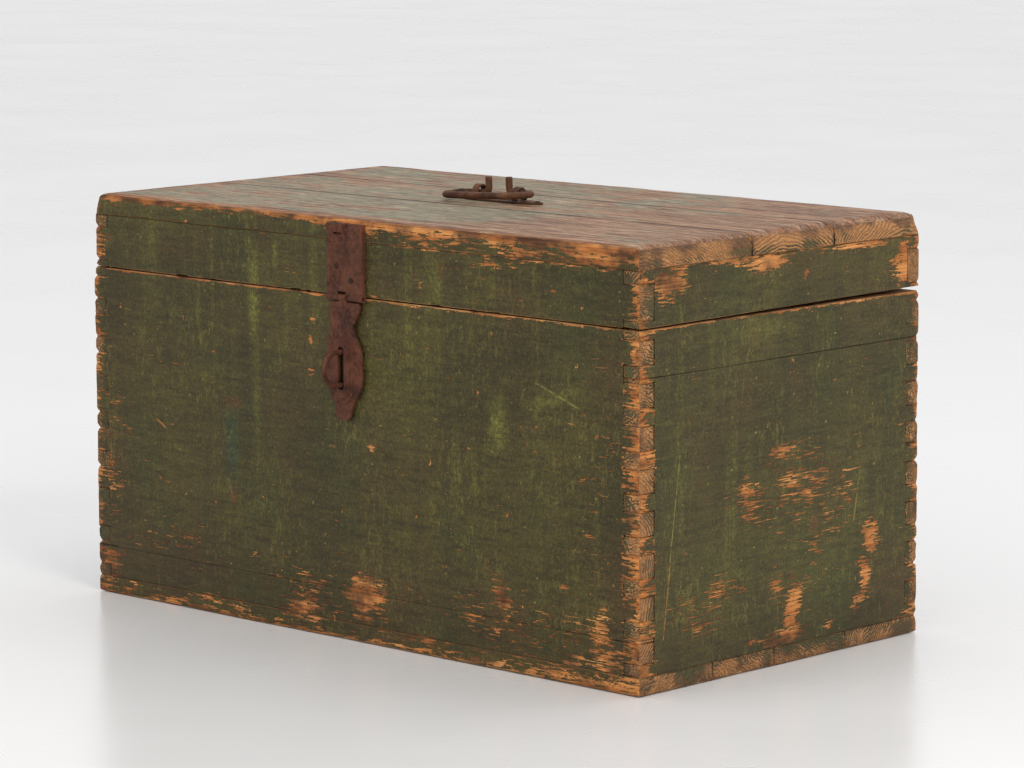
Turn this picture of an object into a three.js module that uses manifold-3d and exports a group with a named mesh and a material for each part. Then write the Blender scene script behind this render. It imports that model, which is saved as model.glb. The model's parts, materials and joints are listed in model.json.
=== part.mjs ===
// A wooden footlocker: a finger-jointed box of pine boards with a hinged lid, an iron hasp over a wire
// staple, and a bail handle lying on the lid. Millimetres, +X along the length, -Y the front, +Z up.
// The origin is the middle of the underside.

import * as THREE from 'three';
import { mergeVertices } from 'three/addons/utils/BufferGeometryUtils.js';
import Module from 'manifold-3d';

const wasm = await Module();
wasm.setup();

// Driving dimensions of the box.
const length = 700;
const depth = 376;
const caseHeight = 313;
const board = 18;
const floorBoard = 16;
const clearance = 0.3;
const right = length / 2;
const left = -right;
const back = depth / 2;
const front = -back;

// The box and the lid were jointed like this: end-board fingers of one height at one pitch.
const fingerPitch = 36.5;
const endFinger = 15.4;
const topFingerBottom = 304.5;
const fingerCount = 9;

// The lid sits a little short at the left and a little high at the back.
const lidLeft = left + 4;
const lidFrontBottom = 314.4;
const lidBackBottom = 317.5;
const frameTop = 363.6;
const lidTop = 384;
const lidFingers = [[300, 321], [352, 380]];
const edgeRadius = 11;

// Where the boards meet: heights in the walls, places across the depth in the floor and the lid.
const wallJoints = { front: 46, back: 176, left: 118, right: 272 };
const floorJoints = [-94, -12.5, 85];
const topJoints = [-43, 67];

// Hinges on the back.
const hingeCentre = 225;
const hingeWidth = 76;
const hingeLeaf = 2;
const hingeTall = 40;
const barrelRadius = 4;
const pinRadius = 1.9;
const hingeAxisY = back + clearance + barrelRadius;
const hingeAxisZ = (caseHeight + lidBackBottom) / 2;
const screwHead = 3.6;
const screwShank = 1.8;

// Hasp on the front. The leaf hangs from a narrow tongue in a notch of the plate, a little off centre.
const plateWidth = 45;
const plateTop = 379;
const plateThick = 6;
const plateRound = 2.6;
const leafThick = 3;
const haspAxisZ = 312.8;
const haspAxisY = front - 3.5;
const haspBarrel = 3.2;
const haspPin = 1.5;
const tongue = [-8, 2];
const notchTop = 318.2;
const leafTop = haspAxisZ - 4.2;
const haspNails = [[-9.5, 341], [9.5, 329]];
const slotX = -4.5;
const slotCentre = 248.7;
const slotLong = 39;
const slotWide = 7.5;
const bossSteps = [[15, 12.5, 0.9], [11, 8, 1.9]];
const stapleWire = 2.4;
const stapleHalf = 15;
const stapleReach = 12.5;

// Handle on the lid.
const bailRadius = 3.3;
const bailAxisY = 6;
const bailAxisZ = 391.6;
const bailTilt = 0.045;
const bailHalf = 47;
const bailReach = 31;
const bailLeg = 13;
const bailPost = 15;
const bailCorners = [5, 12, 14, 14, 12, 5];
const handlePlateThick = 1.8;
const handlePlateHalf = 54;
const handlePlateWide = 11;
const handleNails = new Map([['left', -48.5], ['right', 48.5]]);
const eyeX = 25;
const eyeWide = 7;
const eyeWall = 2;
const eyePlay = 1.8;

// Finishes.
const paint = new THREE.MeshStandardMaterial({ color: 0x4a4a2c, roughness: 0.62, metalness: 0 });
const topPaint = new THREE.MeshStandardMaterial({ color: 0x8a8270, roughness: 0.75, metalness: 0 });
const rust = new THREE.MeshStandardMaterial({ color: 0x5c362c, roughness: 0.7, metalness: 0.5 });
const darkIron = new THREE.MeshStandardMaterial({ color: 0x46322a, roughness: 0.55, metalness: 0.7 });

const footlocker = new THREE.Group();

// Adds one named piece, moved to its place.
function place(name, geometry, material, x = 0, y = 0, z = 0) {
  const mesh = new THREE.Mesh(geometry, material);
  mesh.name = name;
  mesh.position.set(x, y, z);
  footlocker.add(mesh);
  return mesh;
}

// A solid that can be joined and cut.
function solid(geometry) {
  const bare = geometry.clone();
  bare.deleteAttribute('normal');
  bare.deleteAttribute('uv');
  const welded = mergeVertices(bare, 1e-4);
  return new wasm.Manifold(new wasm.Mesh({
    numProp: 3,
    vertProperties: new Float32Array(welded.attributes.position.array),
    triVerts: new Uint32Array(welded.index.array),
  }));
}

function geometryOf(body) {
  const mesh = body.getMesh();
  const geometry = new THREE.BufferGeometry();
  geometry.setAttribute('position', new THREE.BufferAttribute(new Float32Array(mesh.vertProperties), 3));
  geometry.setIndex(new THREE.BufferAttribute(new Uint32Array(mesh.triVerts), 1));
  return geometry;
}

// A cylinder along an axis, centred on a point.
function rod(radius, long, axis, x, y, z, sides = 16) {
  const geometry = new THREE.CylinderGeometry(radius, radius, long, sides);
  if (axis === 'x') geometry.rotateZ(Math.PI / 2);
  if (axis === 'z') geometry.rotateX(Math.PI / 2);
  geometry.translate(x, y, z);
  return geometry;
}

function block(low, high) {
  const geometry = new THREE.BoxGeometry(high[0] - low[0], high[1] - low[1], high[2] - low[2]);
  geometry.translate((low[0] + high[0]) / 2, (low[1] + high[1]) / 2, (low[2] + high[2]) / 2);
  return geometry;
}

// Plates drawn in X and Z, their outer face at y, growing towards +Y.
function extrudeFacingFront(shape, thick, y, curveSegments = 8) {
  const geometry = new THREE.ExtrudeGeometry(shape, { depth: thick, bevelEnabled: false, curveSegments });
  geometry.rotateX(Math.PI / 2);
  geometry.translate(0, y + thick, 0);
  return geometry;
}

// Plates drawn in Y and Z, growing towards +X from x.
function extrudeAlongLength(shape, long, x, curveSegments = 8) {
  const geometry = new THREE.ExtrudeGeometry(shape, { depth: long, bevelEnabled: false, curveSegments });
  geometry.rotateX(Math.PI / 2);
  geometry.rotateZ(Math.PI / 2);
  geometry.translate(x, 0, 0);
  return geometry;
}

// Heights of the end boards' fingers in the box.
function caseFingers() {
  const bands = [];
  for (let i = 0; i < fingerCount; i += 1) {
    const low = topFingerBottom - i * fingerPitch;
    bands.push([low, low + endFinger]);
  }
  return bands;
}

// One end of a jointed board, from its bottom up: it steps in and out at the finger bands.
function jointedEnd(end, top, bands) {
  const edges = bands.flat().filter((z) => z > end.bottom + 1 && z < top - 1);
  const heights = [end.bottom, ...edges.sort((a, b) => a - b), top];
  const points = [];
  for (let i = 0; i + 1 < heights.length; i += 1) {
    const middle = (heights[i] + heights[i + 1]) / 2;
    const inBand = bands.some(([low, high]) => middle > low && middle < high);
    const reach = inBand ? end.inBand : end.elsewhere;
    points.push([reach, heights[i]], [reach, heights[i + 1]]);
  }
  return points;
}

function jointedOutline(start, end, top, bands) {
  const up = jointedEnd(end, top, bands);
  const down = jointedEnd(start, top, bands).reverse();
  return new THREE.Shape([...up, ...down].map(([u, v]) => new THREE.Vector2(u, v)));
}

function spread(bands, by) {
  return bands.map(([low, high]) => [low - by, high + by]);
}

// A front or back board: it gives way to the end boards in the bands.
function longBoard(bands, bottom, top, leftEdge) {
  const inset = board + clearance;
  const start = { bottom, inBand: leftEdge + inset, elsewhere: leftEdge };
  const end = { bottom, inBand: right - inset, elsewhere: right };
  return jointedOutline(start, end, top, spread(bands, clearance / 2));
}

// An end board: it reaches the front and the back only in the bands.
function endBoard(bands, bottomAtFront, bottomAtBack, top) {
  const inset = board + clearance;
  const start = { bottom: bottomAtFront, inBand: front, elsewhere: front + inset };
  const end = { bottom: bottomAtBack, inBand: back, elsewhere: back - inset };
  return jointedOutline(start, end, top, spread(bands, -clearance / 2));
}

// Cuts a hole of radius along Y through a geometry at each [x, z].
function drilled(geometry, radius, places, y, long, sides = 10) {
  let body = solid(geometry);
  for (const [x, z] of places) body = body.subtract(solid(rod(radius, long, 'y', x, y, z, sides)));
  return geometryOf(body);
}

const hingeScrewsX = [-26, 0, 26];
const hingeScrewDrop = 25;
const screwDeep = 12;
const pilot = screwShank + clearance;

function hingeScrewPlaces(z) {
  const places = [];
  for (const side of [-1, 1]) {
    for (const x of hingeScrewsX) places.push([side * hingeCentre + x, z]);
  }
  return places;
}

// Two long walls, each of two boards, drilled for what is fixed to them.
function longWalls() {
  const bottom = floorBoard + clearance;
  const bands = caseFingers();
  const halfGap = clearance / 2;
  for (const side of ['front', 'back']) {
    const y = side === 'front' ? front : back - board;
    const joint = wallJoints[side];
    const lower = extrudeFacingFront(longBoard(bands, bottom, joint - halfGap, left), board, y);
    const upper = extrudeFacingFront(longBoard(bands, joint + halfGap, caseHeight, left), board, y);
    const places = side === 'front'
      ? [[slotX, slotCentre - stapleHalf], [slotX, slotCentre + stapleHalf]]
      : hingeScrewPlaces(hingeAxisZ - hingeScrewDrop);
    const radius = side === 'front' ? stapleWire + clearance : pilot;
    place(`${side}_wall_lower`, lower, paint);
    place(`${side}_wall_upper`, drilled(upper, radius, places, y + board / 2, board * 2), paint);
  }
}

function endWalls() {
  const bottom = floorBoard + clearance;
  const bands = caseFingers();
  const halfGap = clearance / 2;
  for (const side of ['left', 'right']) {
    const x = side === 'left' ? left : right - board;
    const joint = wallJoints[side];
    const lower = endBoard(bands, bottom, bottom, joint - halfGap);
    const upper = endBoard(bands, joint + halfGap, joint + halfGap, caseHeight);
    place(`${side}_end_lower`, extrudeAlongLength(lower, board, x), paint);
    place(`${side}_end_upper`, extrudeAlongLength(upper, board, x), paint);
  }
}

function floor() {
  const edges = [front, ...floorJoints, back];
  for (let i = 0; i < 4; i += 1) {
    const low = edges[i] + (i > 0 ? clearance / 2 : 0);
    const high = edges[i + 1] - (i < 3 ? clearance / 2 : 0);
    place(`bottom_board_${i + 1}`, block([left, low, 0], [right, high, floorBoard]), paint);
  }
}

function lidFrame() {
  const frontOutline = longBoard(lidFingers, lidFrontBottom, frameTop, lidLeft);
  const frontRail = extrudeFacingFront(frontOutline, board, front);
  place('lid_front_rail', drilled(frontRail, pilot, haspNails, front + board / 2, board * 2), paint);

  const backOutline = longBoard(lidFingers, lidBackBottom, frameTop, lidLeft);
  const backRail = extrudeFacingFront(backOutline, board, back - board);
  const screws = hingeScrewPlaces(hingeAxisZ + hingeScrewDrop);
  place('lid_back_rail', drilled(backRail, pilot, screws, back - board / 2, board * 2), paint);

  const endRail = endBoard(lidFingers, lidFrontBottom, lidBackBottom, frameTop);
  place('lid_left_rail', extrudeAlongLength(endRail, board, lidLeft), paint);
  place('lid_right_rail', extrudeAlongLength(endRail, board, right - board), paint);
}

// A section of the lid from low to high, its two upper corners rounded.
function roundedTop(low, high) {
  const radius = edgeRadius;
  const shape = new THREE.Shape();
  shape.moveTo(low, frameTop - 1);
  shape.lineTo(high, frameTop - 1);
  shape.lineTo(high, lidTop - radius);
  shape.absarc(high - radius, lidTop - radius, radius, 0, Math.PI / 2, false);
  shape.lineTo(low + radius, lidTop);
  shape.absarc(low + radius, lidTop - radius, radius, Math.PI / 2, Math.PI, false);
  shape.closePath();
  return shape;
}

// Three boards over the frame, worn round all along the rim.
function lidTopBoards() {
  const spare = 10;
  const across = extrudeAlongLength(roundedTop(front, back), length + spare * 2, left - spare, 5);
  const along = extrudeFacingFront(roundedTop(lidLeft, right), depth + spare * 2, front - spare, 5);
  const crowned = solid(across).intersect(solid(along));
  const edges = [front, ...topJoints, back];
  ['front', 'middle', 'back'].forEach((name, i) => {
    const low = edges[i] + (i > 0 ? clearance / 2 : -1);
    const high = edges[i + 1] + (i < 2 ? -clearance / 2 : 1);
    const bar = block([left - 1, low, frameTop + clearance], [right + 1, high, lidTop + 1]);
    let body = solid(bar).intersect(crowned);
    if (name === 'middle') {
      for (const x of handleNails.values()) {
        body = body.subtract(solid(rod(pilot, screwDeep * 2, 'z', x, bailAxisY, lidTop, 10)));
      }
    }
    place(`top_board_${name}`, geometryOf(body), topPaint);
  });
}

// A leaf with its knuckles: rise is +1 for the leaf on the lid, -1 for the one on the box.
function hingeLeafGeometry(x, rise) {
  const half = hingeWidth / 2;
  const low = rise > 0 ? hingeAxisZ : hingeAxisZ - hingeTall;
  const inner = back + clearance;
  const knuckle = hingeWidth / 5;
  let body = solid(block([x - half, inner, low], [x + half, inner + hingeLeaf, low + hingeTall]));
  const gap = clearance / 2;
  for (let i = 0; i < 5; i += 1) {
    const start = x - half + i * knuckle;
    const mine = (i % 2 === 1) === (rise > 0);
    const middle = start + knuckle / 2;
    if (mine) {
      const barrel = rod(barrelRadius, knuckle - gap * 2, 'x', middle, hingeAxisY, hingeAxisZ, 20);
      body = body.add(solid(barrel));
    } else {
      const reach = barrelRadius + clearance;
      const room = block(
        [start - gap, back, hingeAxisZ - reach],
        [start + knuckle + gap, hingeAxisY + reach, hingeAxisZ + reach],
      );
      body = body.subtract(solid(room));
    }
  }
  const bore = rod(pinRadius + clearance, hingeWidth + 10, 'x', x, hingeAxisY, hingeAxisZ, 16);
  body = body.subtract(solid(bore));
  for (const dx of hingeScrewsX) {
    const hole = rod(pilot, 10, 'y', x + dx, back + 2, hingeAxisZ + rise * hingeScrewDrop, 10);
    body = body.subtract(solid(hole));
  }
  return geometryOf(body);
}

// A domed screw whose head bears on iron at y, its shank running into the wood at -Y.
function screwGeometry(x, y, z) {
  const profile = [
    [0, -screwDeep], [screwShank, -screwDeep + 2], [screwShank, clearance], [screwHead, clearance],
    [screwHead * 0.8, 1.1], [screwHead * 0.35, 1.6], [0, 1.6],
  ];
  const geometry = new THREE.LatheGeometry(profile.map(([r, h]) => new THREE.Vector2(r, h)), 10);
  geometry.translate(x, y, z);
  return geometry;
}

function hinges() {
  for (const [name, side] of [['left', -1], ['right', 1]]) {
    const x = side * hingeCentre;
    place(`hinge_lower_leaf_${name}`, hingeLeafGeometry(x, -1), rust);
    place(`hinge_upper_leaf_${name}`, hingeLeafGeometry(x, 1), rust);
    place(`hinge_pin_${name}`, rod(pinRadius, hingeWidth + 3, 'x', x, hingeAxisY, hingeAxisZ, 12), darkIron);
    const outside = back + clearance + hingeLeaf;
    hingeScrewsX.forEach((dx, i) => {
      const lower = screwGeometry(x + dx, outside, hingeAxisZ - hingeScrewDrop);
      const upper = screwGeometry(x + dx, outside, hingeAxisZ + hingeScrewDrop);
      place(`hinge_lower_screw_${name}_${i + 1}`, lower, darkIron);
      place(`hinge_upper_screw_${name}_${i + 1}`, upper, darkIron);
    });
  }
}

// The fixed plate: a thick strap with a round right edge, its bottom rolled around the pin.
function haspPlateGeometry() {
  const half = plateWidth / 2;
  const outer = front - plateThick;
  const inner = front - clearance;
  const profile = new THREE.Shape();
  profile.moveTo(-half, inner);
  profile.lineTo(-half, outer + 1);
  profile.lineTo(-half + 1, outer);
  profile.lineTo(half - plateRound, outer);
  profile.absarc(half - plateRound, outer + plateRound, plateRound, -Math.PI / 2, 0, false);
  profile.lineTo(half, inner);
  profile.closePath();
  const tall = plateTop - haspAxisZ;
  const strap = new THREE.ExtrudeGeometry(profile, { depth: tall, bevelEnabled: false, curveSegments: 4 });
  strap.translate(0, 0, haspAxisZ);
  const roll = rod(haspBarrel, plateWidth, 'x', 0, haspAxisY, haspAxisZ, 16);
  const fold = block([-13, outer - 0.8, 371.2], [0, outer + 1, plateTop - 0.6]);
  const slot = block([-13, outer - 1, 369], [-3, outer + 2.2, 371.2]);
  const notch = block(
    [tongue[0] - clearance, outer - 2, haspAxisZ - haspBarrel - 1], [tongue[1] + clearance, front, notchTop]);
  const bore = rod(haspPin + clearance, plateWidth + 10, 'x', 0, haspAxisY, haspAxisZ, 12);
  let body = solid(strap).add(solid(roll)).add(solid(fold));
  for (const cut of [slot, notch, bore]) body = body.subtract(solid(cut));
  for (const [x, z] of haspNails) body = body.subtract(solid(rod(pilot, 20, 'y', x, front, z, 10)));
  return geometryOf(body);
}

// The leaf's outline: a crooked neck, a swelling around the slot, and a blunt point.
function leafOutline() {
  const rightSide = [
    [17.6, leafTop], [17.4, 301], [11.5, 290], [10, 285], [13.5, 277], [19.2, 266], [20.4, 252], [20.2, 238],
    [17.5, 228], [10, 218], [7, 211], [4.5, 204], [1, 201.6],
  ];
  const leftSide = [
    [-9, 201.6], [-12, 205], [-13.4, 214], [-19, 223], [-24.2, 235], [-25.6, 250], [-24, 265], [-20.4, 279],
    [-18.8, 288], [-19.8, 299], [-20.2, leafTop],
  ];
  const points = (side) => side.map(([x, z]) => new THREE.Vector2(x, z));
  const shape = new THREE.Shape();
  shape.moveTo(...rightSide[0]);
  shape.splineThru(points(rightSide.slice(1)));
  shape.lineTo(...leftSide[0]);
  shape.splineThru(points(leftSide.slice(1)));
  shape.closePath();
  return shape;
}

// An upright slot or boss with round ends, centred on the staple.
function stadium(halfWide, halfLong) {
  const straight = halfLong - halfWide;
  const shape = new THREE.Shape();
  shape.moveTo(slotX + halfWide, slotCentre - straight);
  shape.lineTo(slotX + halfWide, slotCentre + straight);
  shape.absarc(slotX, slotCentre + straight, halfWide, 0, Math.PI, false);
  shape.lineTo(slotX - halfWide, slotCentre - straight);
  shape.absarc(slotX, slotCentre - straight, halfWide, Math.PI, 2 * Math.PI, false);
  shape.closePath();
  return shape;
}

// The leaf, swelling in two steps around its slot, with the tongue and barrel that it hangs by.
function haspLeafGeometry() {
  const outer = haspAxisY - leafThick / 2;
  const middle = (tongue[0] + tongue[1]) / 2;
  let body = solid(extrudeFacingFront(leafOutline(), leafThick, outer, 2));
  for (const [halfWide, beyond, high] of bossSteps) {
    const step = extrudeFacingFront(stadium(halfWide, slotLong / 2 + beyond), high + 1, outer - high, 6);
    body = body.add(solid(step));
  }
  const strap = block([tongue[0], outer, leafTop - 1], [tongue[1], outer + leafThick, haspAxisZ]);
  const barrel = rod(haspBarrel, tongue[1] - tongue[0], 'x', middle, haspAxisY, haspAxisZ, 16);
  const slot = extrudeFacingFront(stadium(slotWide / 2, slotLong / 2), 20, outer - 10, 5);
  const bore = rod(haspPin + clearance, plateWidth + 10, 'x', 0, haspAxisY, haspAxisZ, 12);
  return geometryOf(body.add(solid(strap)).add(solid(barrel)).subtract(solid(slot)).subtract(solid(bore)));
}

// A bent wire of round section along a path.
function bentRod(path, radius, sides, steps) {
  const section = new THREE.Shape();
  section.absarc(0, 0, radius, 0, 2 * Math.PI, false);
  return new THREE.ExtrudeGeometry(section, {
    extrudePath: path, steps, bevelEnabled: false, curveSegments: sides / 2,
  });
}

// A quarter of a circle from start to end, turning at corner, as a cubic.
function bend(start, corner, end) {
  const k = 0.5523;
  const a = start.clone().lerp(corner, k);
  const b = end.clone().lerp(corner, k);
  return new THREE.CubicBezierCurve3(start, a, b, end);
}

// A path of straight runs between corners, each corner rounded to its radius.
function roundedPath(corners, radius) {
  const path = new THREE.CurvePath();
  let from = corners[0];
  for (let i = 1; i + 1 < corners.length; i += 1) {
    const corner = corners[i];
    const r = radius[i - 1];
    const before = corner.clone().add(corners[i - 1].clone().sub(corner).setLength(r));
    const after = corner.clone().add(corners[i + 1].clone().sub(corner).setLength(r));
    path.add(new THREE.LineCurve3(from, before));
    path.add(bend(before, corner, after));
    from = after;
  }
  path.add(new THREE.LineCurve3(from, corners[corners.length - 1]));
  return path;
}

function staple() {
  const deep = front + board - 4;
  const nose = front - stapleReach - stapleHalf;
  const high = slotCentre + stapleHalf;
  const low = slotCentre - stapleHalf;
  const corners = [[deep, high], [nose, high], [nose, low], [deep, low]];
  const turn = stapleHalf - 0.1;
  const path = roundedPath(corners.map(([y, z]) => new THREE.Vector3(slotX, y, z)), [turn, turn]);
  place('hasp_staple', bentRod(path, stapleWire, 10, 48), rust);
}

function hasp() {
  place('hasp_plate', haspPlateGeometry(), rust);
  place('hasp_leaf', haspLeafGeometry(), rust);
  place('hasp_pin', rod(haspPin, plateWidth, 'x', 0, haspAxisY, haspAxisZ, 10), darkIron);
  haspNails.forEach(([x, z], i) => {
    const nail = screwGeometry(0, 0, 0);
    nail.scale(0.8, 1, 0.8);
    nail.rotateX(Math.PI);
    place(`hasp_nail_${i + 1}`, nail, darkIron, x, front - plateThick, z);
  });
}

// The bail: upturned ends, short legs in the eyes, round ends and a grip towards the front.
function bailGeometry() {
  const corner = (x, y, up = 0) => new THREE.Vector3(x - bailTilt * up, y, bailAxisZ + bailTilt * x + up);
  const grip = bailAxisY - bailReach;
  const corners = [
    corner(-bailLeg, bailAxisY, bailPost), corner(-bailLeg, bailAxisY), corner(-bailHalf, bailAxisY),
    corner(-bailHalf, grip), corner(bailHalf, grip), corner(bailHalf, bailAxisY),
    corner(bailLeg, bailAxisY), corner(bailLeg, bailAxisY, bailPost),
  ];
  return bentRod(roundedPath(corners, bailCorners), bailRadius, 12, 96);
}

// A flat strap with a blunt point at each end, nailed through near the points.
function handlePlateGeometry() {
  const shoulder = 30;
  const tip = 2;
  const outline = [
    [-handlePlateHalf, -tip], [-shoulder, -handlePlateWide],
    [shoulder, -handlePlateWide], [handlePlateHalf, -tip],
    [handlePlateHalf, tip], [shoulder, handlePlateWide],
    [-shoulder, handlePlateWide], [-handlePlateHalf, tip],
  ];
  const shape = new THREE.Shape(outline.map(([x, y]) => new THREE.Vector2(x, y)));
  const plate = new THREE.ExtrudeGeometry(shape, { depth: handlePlateThick, bevelEnabled: false });
  plate.translate(0, bailAxisY, lidTop + clearance);
  let body = solid(plate);
  for (const x of handleNails.values()) {
    body = body.subtract(solid(rod(pilot, screwDeep * 2, 'z', x, bailAxisY, lidTop, 10)));
  }
  return geometryOf(body);
}

// An iron arch, loose over one leg of the bail, its feet on the plate.
function eyeGeometry() {
  const inner = bailRadius + eyePlay;
  const outer = inner + eyeWall;
  const foot = lidTop + clearance * 2 + handlePlateThick - bailAxisZ;
  const shape = new THREE.Shape();
  shape.moveTo(outer, foot);
  shape.lineTo(outer, 0);
  shape.absarc(0, 0, outer, 0, Math.PI, false);
  shape.lineTo(-outer, foot);
  shape.lineTo(-inner, foot);
  shape.lineTo(-inner, 0);
  shape.absarc(0, 0, inner, Math.PI, 0, true);
  shape.lineTo(inner, foot);
  shape.closePath();
  return extrudeAlongLength(shape, eyeWide, -eyeWide / 2, 7);
}

function handle() {
  place('handle_plate', handlePlateGeometry(), darkIron);
  place('handle_bail', bailGeometry(), darkIron);
  const top = lidTop + clearance + handlePlateThick;
  for (const [name, x] of handleNails) {
    place(`handle_eye_${name}`, eyeGeometry(), darkIron, Math.sign(x) * eyeX, bailAxisY, bailAxisZ);
    const nail = screwGeometry(0, 0, 0);
    nail.scale(0.8, 0.7, 0.8);
    nail.rotateX(Math.PI / 2);
    place(`handle_nail_${name}`, nail, darkIron, x, bailAxisY, top);
  }
}

floor();
longWalls();
endWalls();
staple();
hinges();
lidFrame();
lidTopBoards();
hasp();
handle();

export default footlocker;
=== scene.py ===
import json
import math

import bmesh
import bpy
import numpy as np
from mathutils import Matrix, Vector
from mathutils.bvhtree import BVHTree


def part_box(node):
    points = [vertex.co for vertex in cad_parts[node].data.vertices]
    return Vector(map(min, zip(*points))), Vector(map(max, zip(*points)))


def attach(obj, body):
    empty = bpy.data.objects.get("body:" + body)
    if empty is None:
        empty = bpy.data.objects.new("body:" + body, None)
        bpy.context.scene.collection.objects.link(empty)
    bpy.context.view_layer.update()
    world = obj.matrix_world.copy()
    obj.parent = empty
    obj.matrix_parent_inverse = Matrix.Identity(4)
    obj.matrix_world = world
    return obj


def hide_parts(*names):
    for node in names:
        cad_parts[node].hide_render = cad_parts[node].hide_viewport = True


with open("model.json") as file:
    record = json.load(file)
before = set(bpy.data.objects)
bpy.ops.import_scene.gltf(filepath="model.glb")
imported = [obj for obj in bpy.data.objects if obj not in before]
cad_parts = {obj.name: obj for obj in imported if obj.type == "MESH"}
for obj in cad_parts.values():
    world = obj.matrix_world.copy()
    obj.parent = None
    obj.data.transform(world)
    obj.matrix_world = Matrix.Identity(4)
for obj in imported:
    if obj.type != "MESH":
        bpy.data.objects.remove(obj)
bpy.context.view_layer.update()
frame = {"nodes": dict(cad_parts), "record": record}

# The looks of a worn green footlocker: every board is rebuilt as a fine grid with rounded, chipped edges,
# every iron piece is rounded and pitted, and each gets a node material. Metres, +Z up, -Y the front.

MM = 0.001

BODY_OF = {node: body for body, nodes in frame["record"]["behaviour"]["bodies"].items() for node in nodes}
SLOT_OF = {part["node"]: part["material_slot"] for part in frame["record"]["subparts"]}

CASE_LOW = Vector((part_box("bottom_board_1")[0].x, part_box("bottom_board_1")[0].y, 0.0))
CASE_HIGH = Vector((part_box("bottom_board_4")[1].x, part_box("bottom_board_4")[1].y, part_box("right_end_upper")[1].z))
LID_LOW = Vector((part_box("lid_left_rail")[0].x, CASE_LOW.y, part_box("lid_front_rail")[0].z))
LID_HIGH = Vector((CASE_HIGH.x, CASE_HIGH.y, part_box("top_board_middle")[1].z))
FRAME_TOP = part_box("lid_front_rail")[1].z
TOP_JOINTS = [corner.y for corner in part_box("top_board_middle")]


# ---------------------------------------------------------------- camera, light and floor

def add_camera():
    """The camera of the photograph: a long lens seen from the front right, a little above the lid."""
    azimuth, elevation, roll = (math.radians(angle) for angle in (43.9, 8.35, -0.27))
    distance, aside, above = 3.907, 0.0149, 0.0237
    target = Vector((0, 0, 0.19))
    back = Vector((
        math.sin(azimuth) * math.cos(elevation), -math.cos(azimuth) * math.cos(elevation), math.sin(elevation)))
    level = Vector((math.cos(azimuth), math.sin(azimuth), 0))
    upright = back.cross(level)
    right = math.cos(roll) * level + math.sin(roll) * upright
    up = -math.sin(roll) * level + math.cos(roll) * upright
    data = bpy.data.cameras.new("camera")
    data.sensor_width = 36.0
    data.lens = 147.9
    data.clip_end = 200.0
    camera = bpy.data.objects.new("camera", data)
    bpy.context.scene.collection.objects.link(camera)
    place = target + distance * back + aside * right + above * up
    turn = Matrix((right, up, back)).transposed().to_4x4()
    camera.matrix_world = Matrix.Translation(place) @ turn
    bpy.context.scene.camera = camera


def add_area_light(name, place, target, size, power, colour):
    data = bpy.data.lights.new(name, "AREA")
    data.shape = "DISK"
    data.size = size
    data.energy = power
    data.color = colour
    light = bpy.data.objects.new(name, data)
    light.location = place
    light.rotation_euler = (Vector(target) - Vector(place)).to_track_quat("-Z", "Y").to_euler()
    bpy.context.scene.collection.objects.link(light)


def add_lights():
    bpy.context.scene.view_settings.view_transform = "Standard"
    world = bpy.data.worlds.new("studio")
    world.use_nodes = True
    world.node_tree.nodes["Background"].inputs["Color"].default_value = (0.98, 0.985, 1.0, 1)
    world.node_tree.nodes["Background"].inputs["Strength"].default_value = 0.95
    bpy.context.scene.world = world
    middle = (0, 0, 0.2)
    add_area_light("key", (3.2, -1.2, 2.6), middle, 1.3, 60, (1.0, 0.97, 0.93))
    add_area_light("front", (-0.6, -3.4, 1.9), middle, 2.2, 16, (1.0, 0.98, 0.95))
    add_area_light("top", (0.3, 1.2, 2.8), middle, 2.0, 12, (0.95, 0.97, 1.0))


def add_floor():
    """A wide pale floor, slightly glossy, just under the footlocker."""
    mesh = bpy.data.meshes.new("studio_floor")
    edge, height = 60.0, -0.0004
    corners = [(-edge, -edge, height), (edge, -edge, height), (edge, edge, height), (-edge, edge, height)]
    mesh.from_pydata(corners, [], [(0, 1, 2, 3)])
    floor = bpy.data.objects.new("studio_floor", mesh)
    bpy.context.scene.collection.objects.link(floor)
    n = Nodes("studio_floor")
    roughness = n.ramp(n.noise(n.coords(), 3.0, 3), [(0.3, 0.22), (0.7, 0.3)])
    n.shader((0.74, 0.73, 0.72), roughness)
    mesh.materials.append(n.material)


# ---------------------------------------------------------------- node materials

RING_WIDTH = 0.0029      # of a year's growth in the end grain


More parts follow.
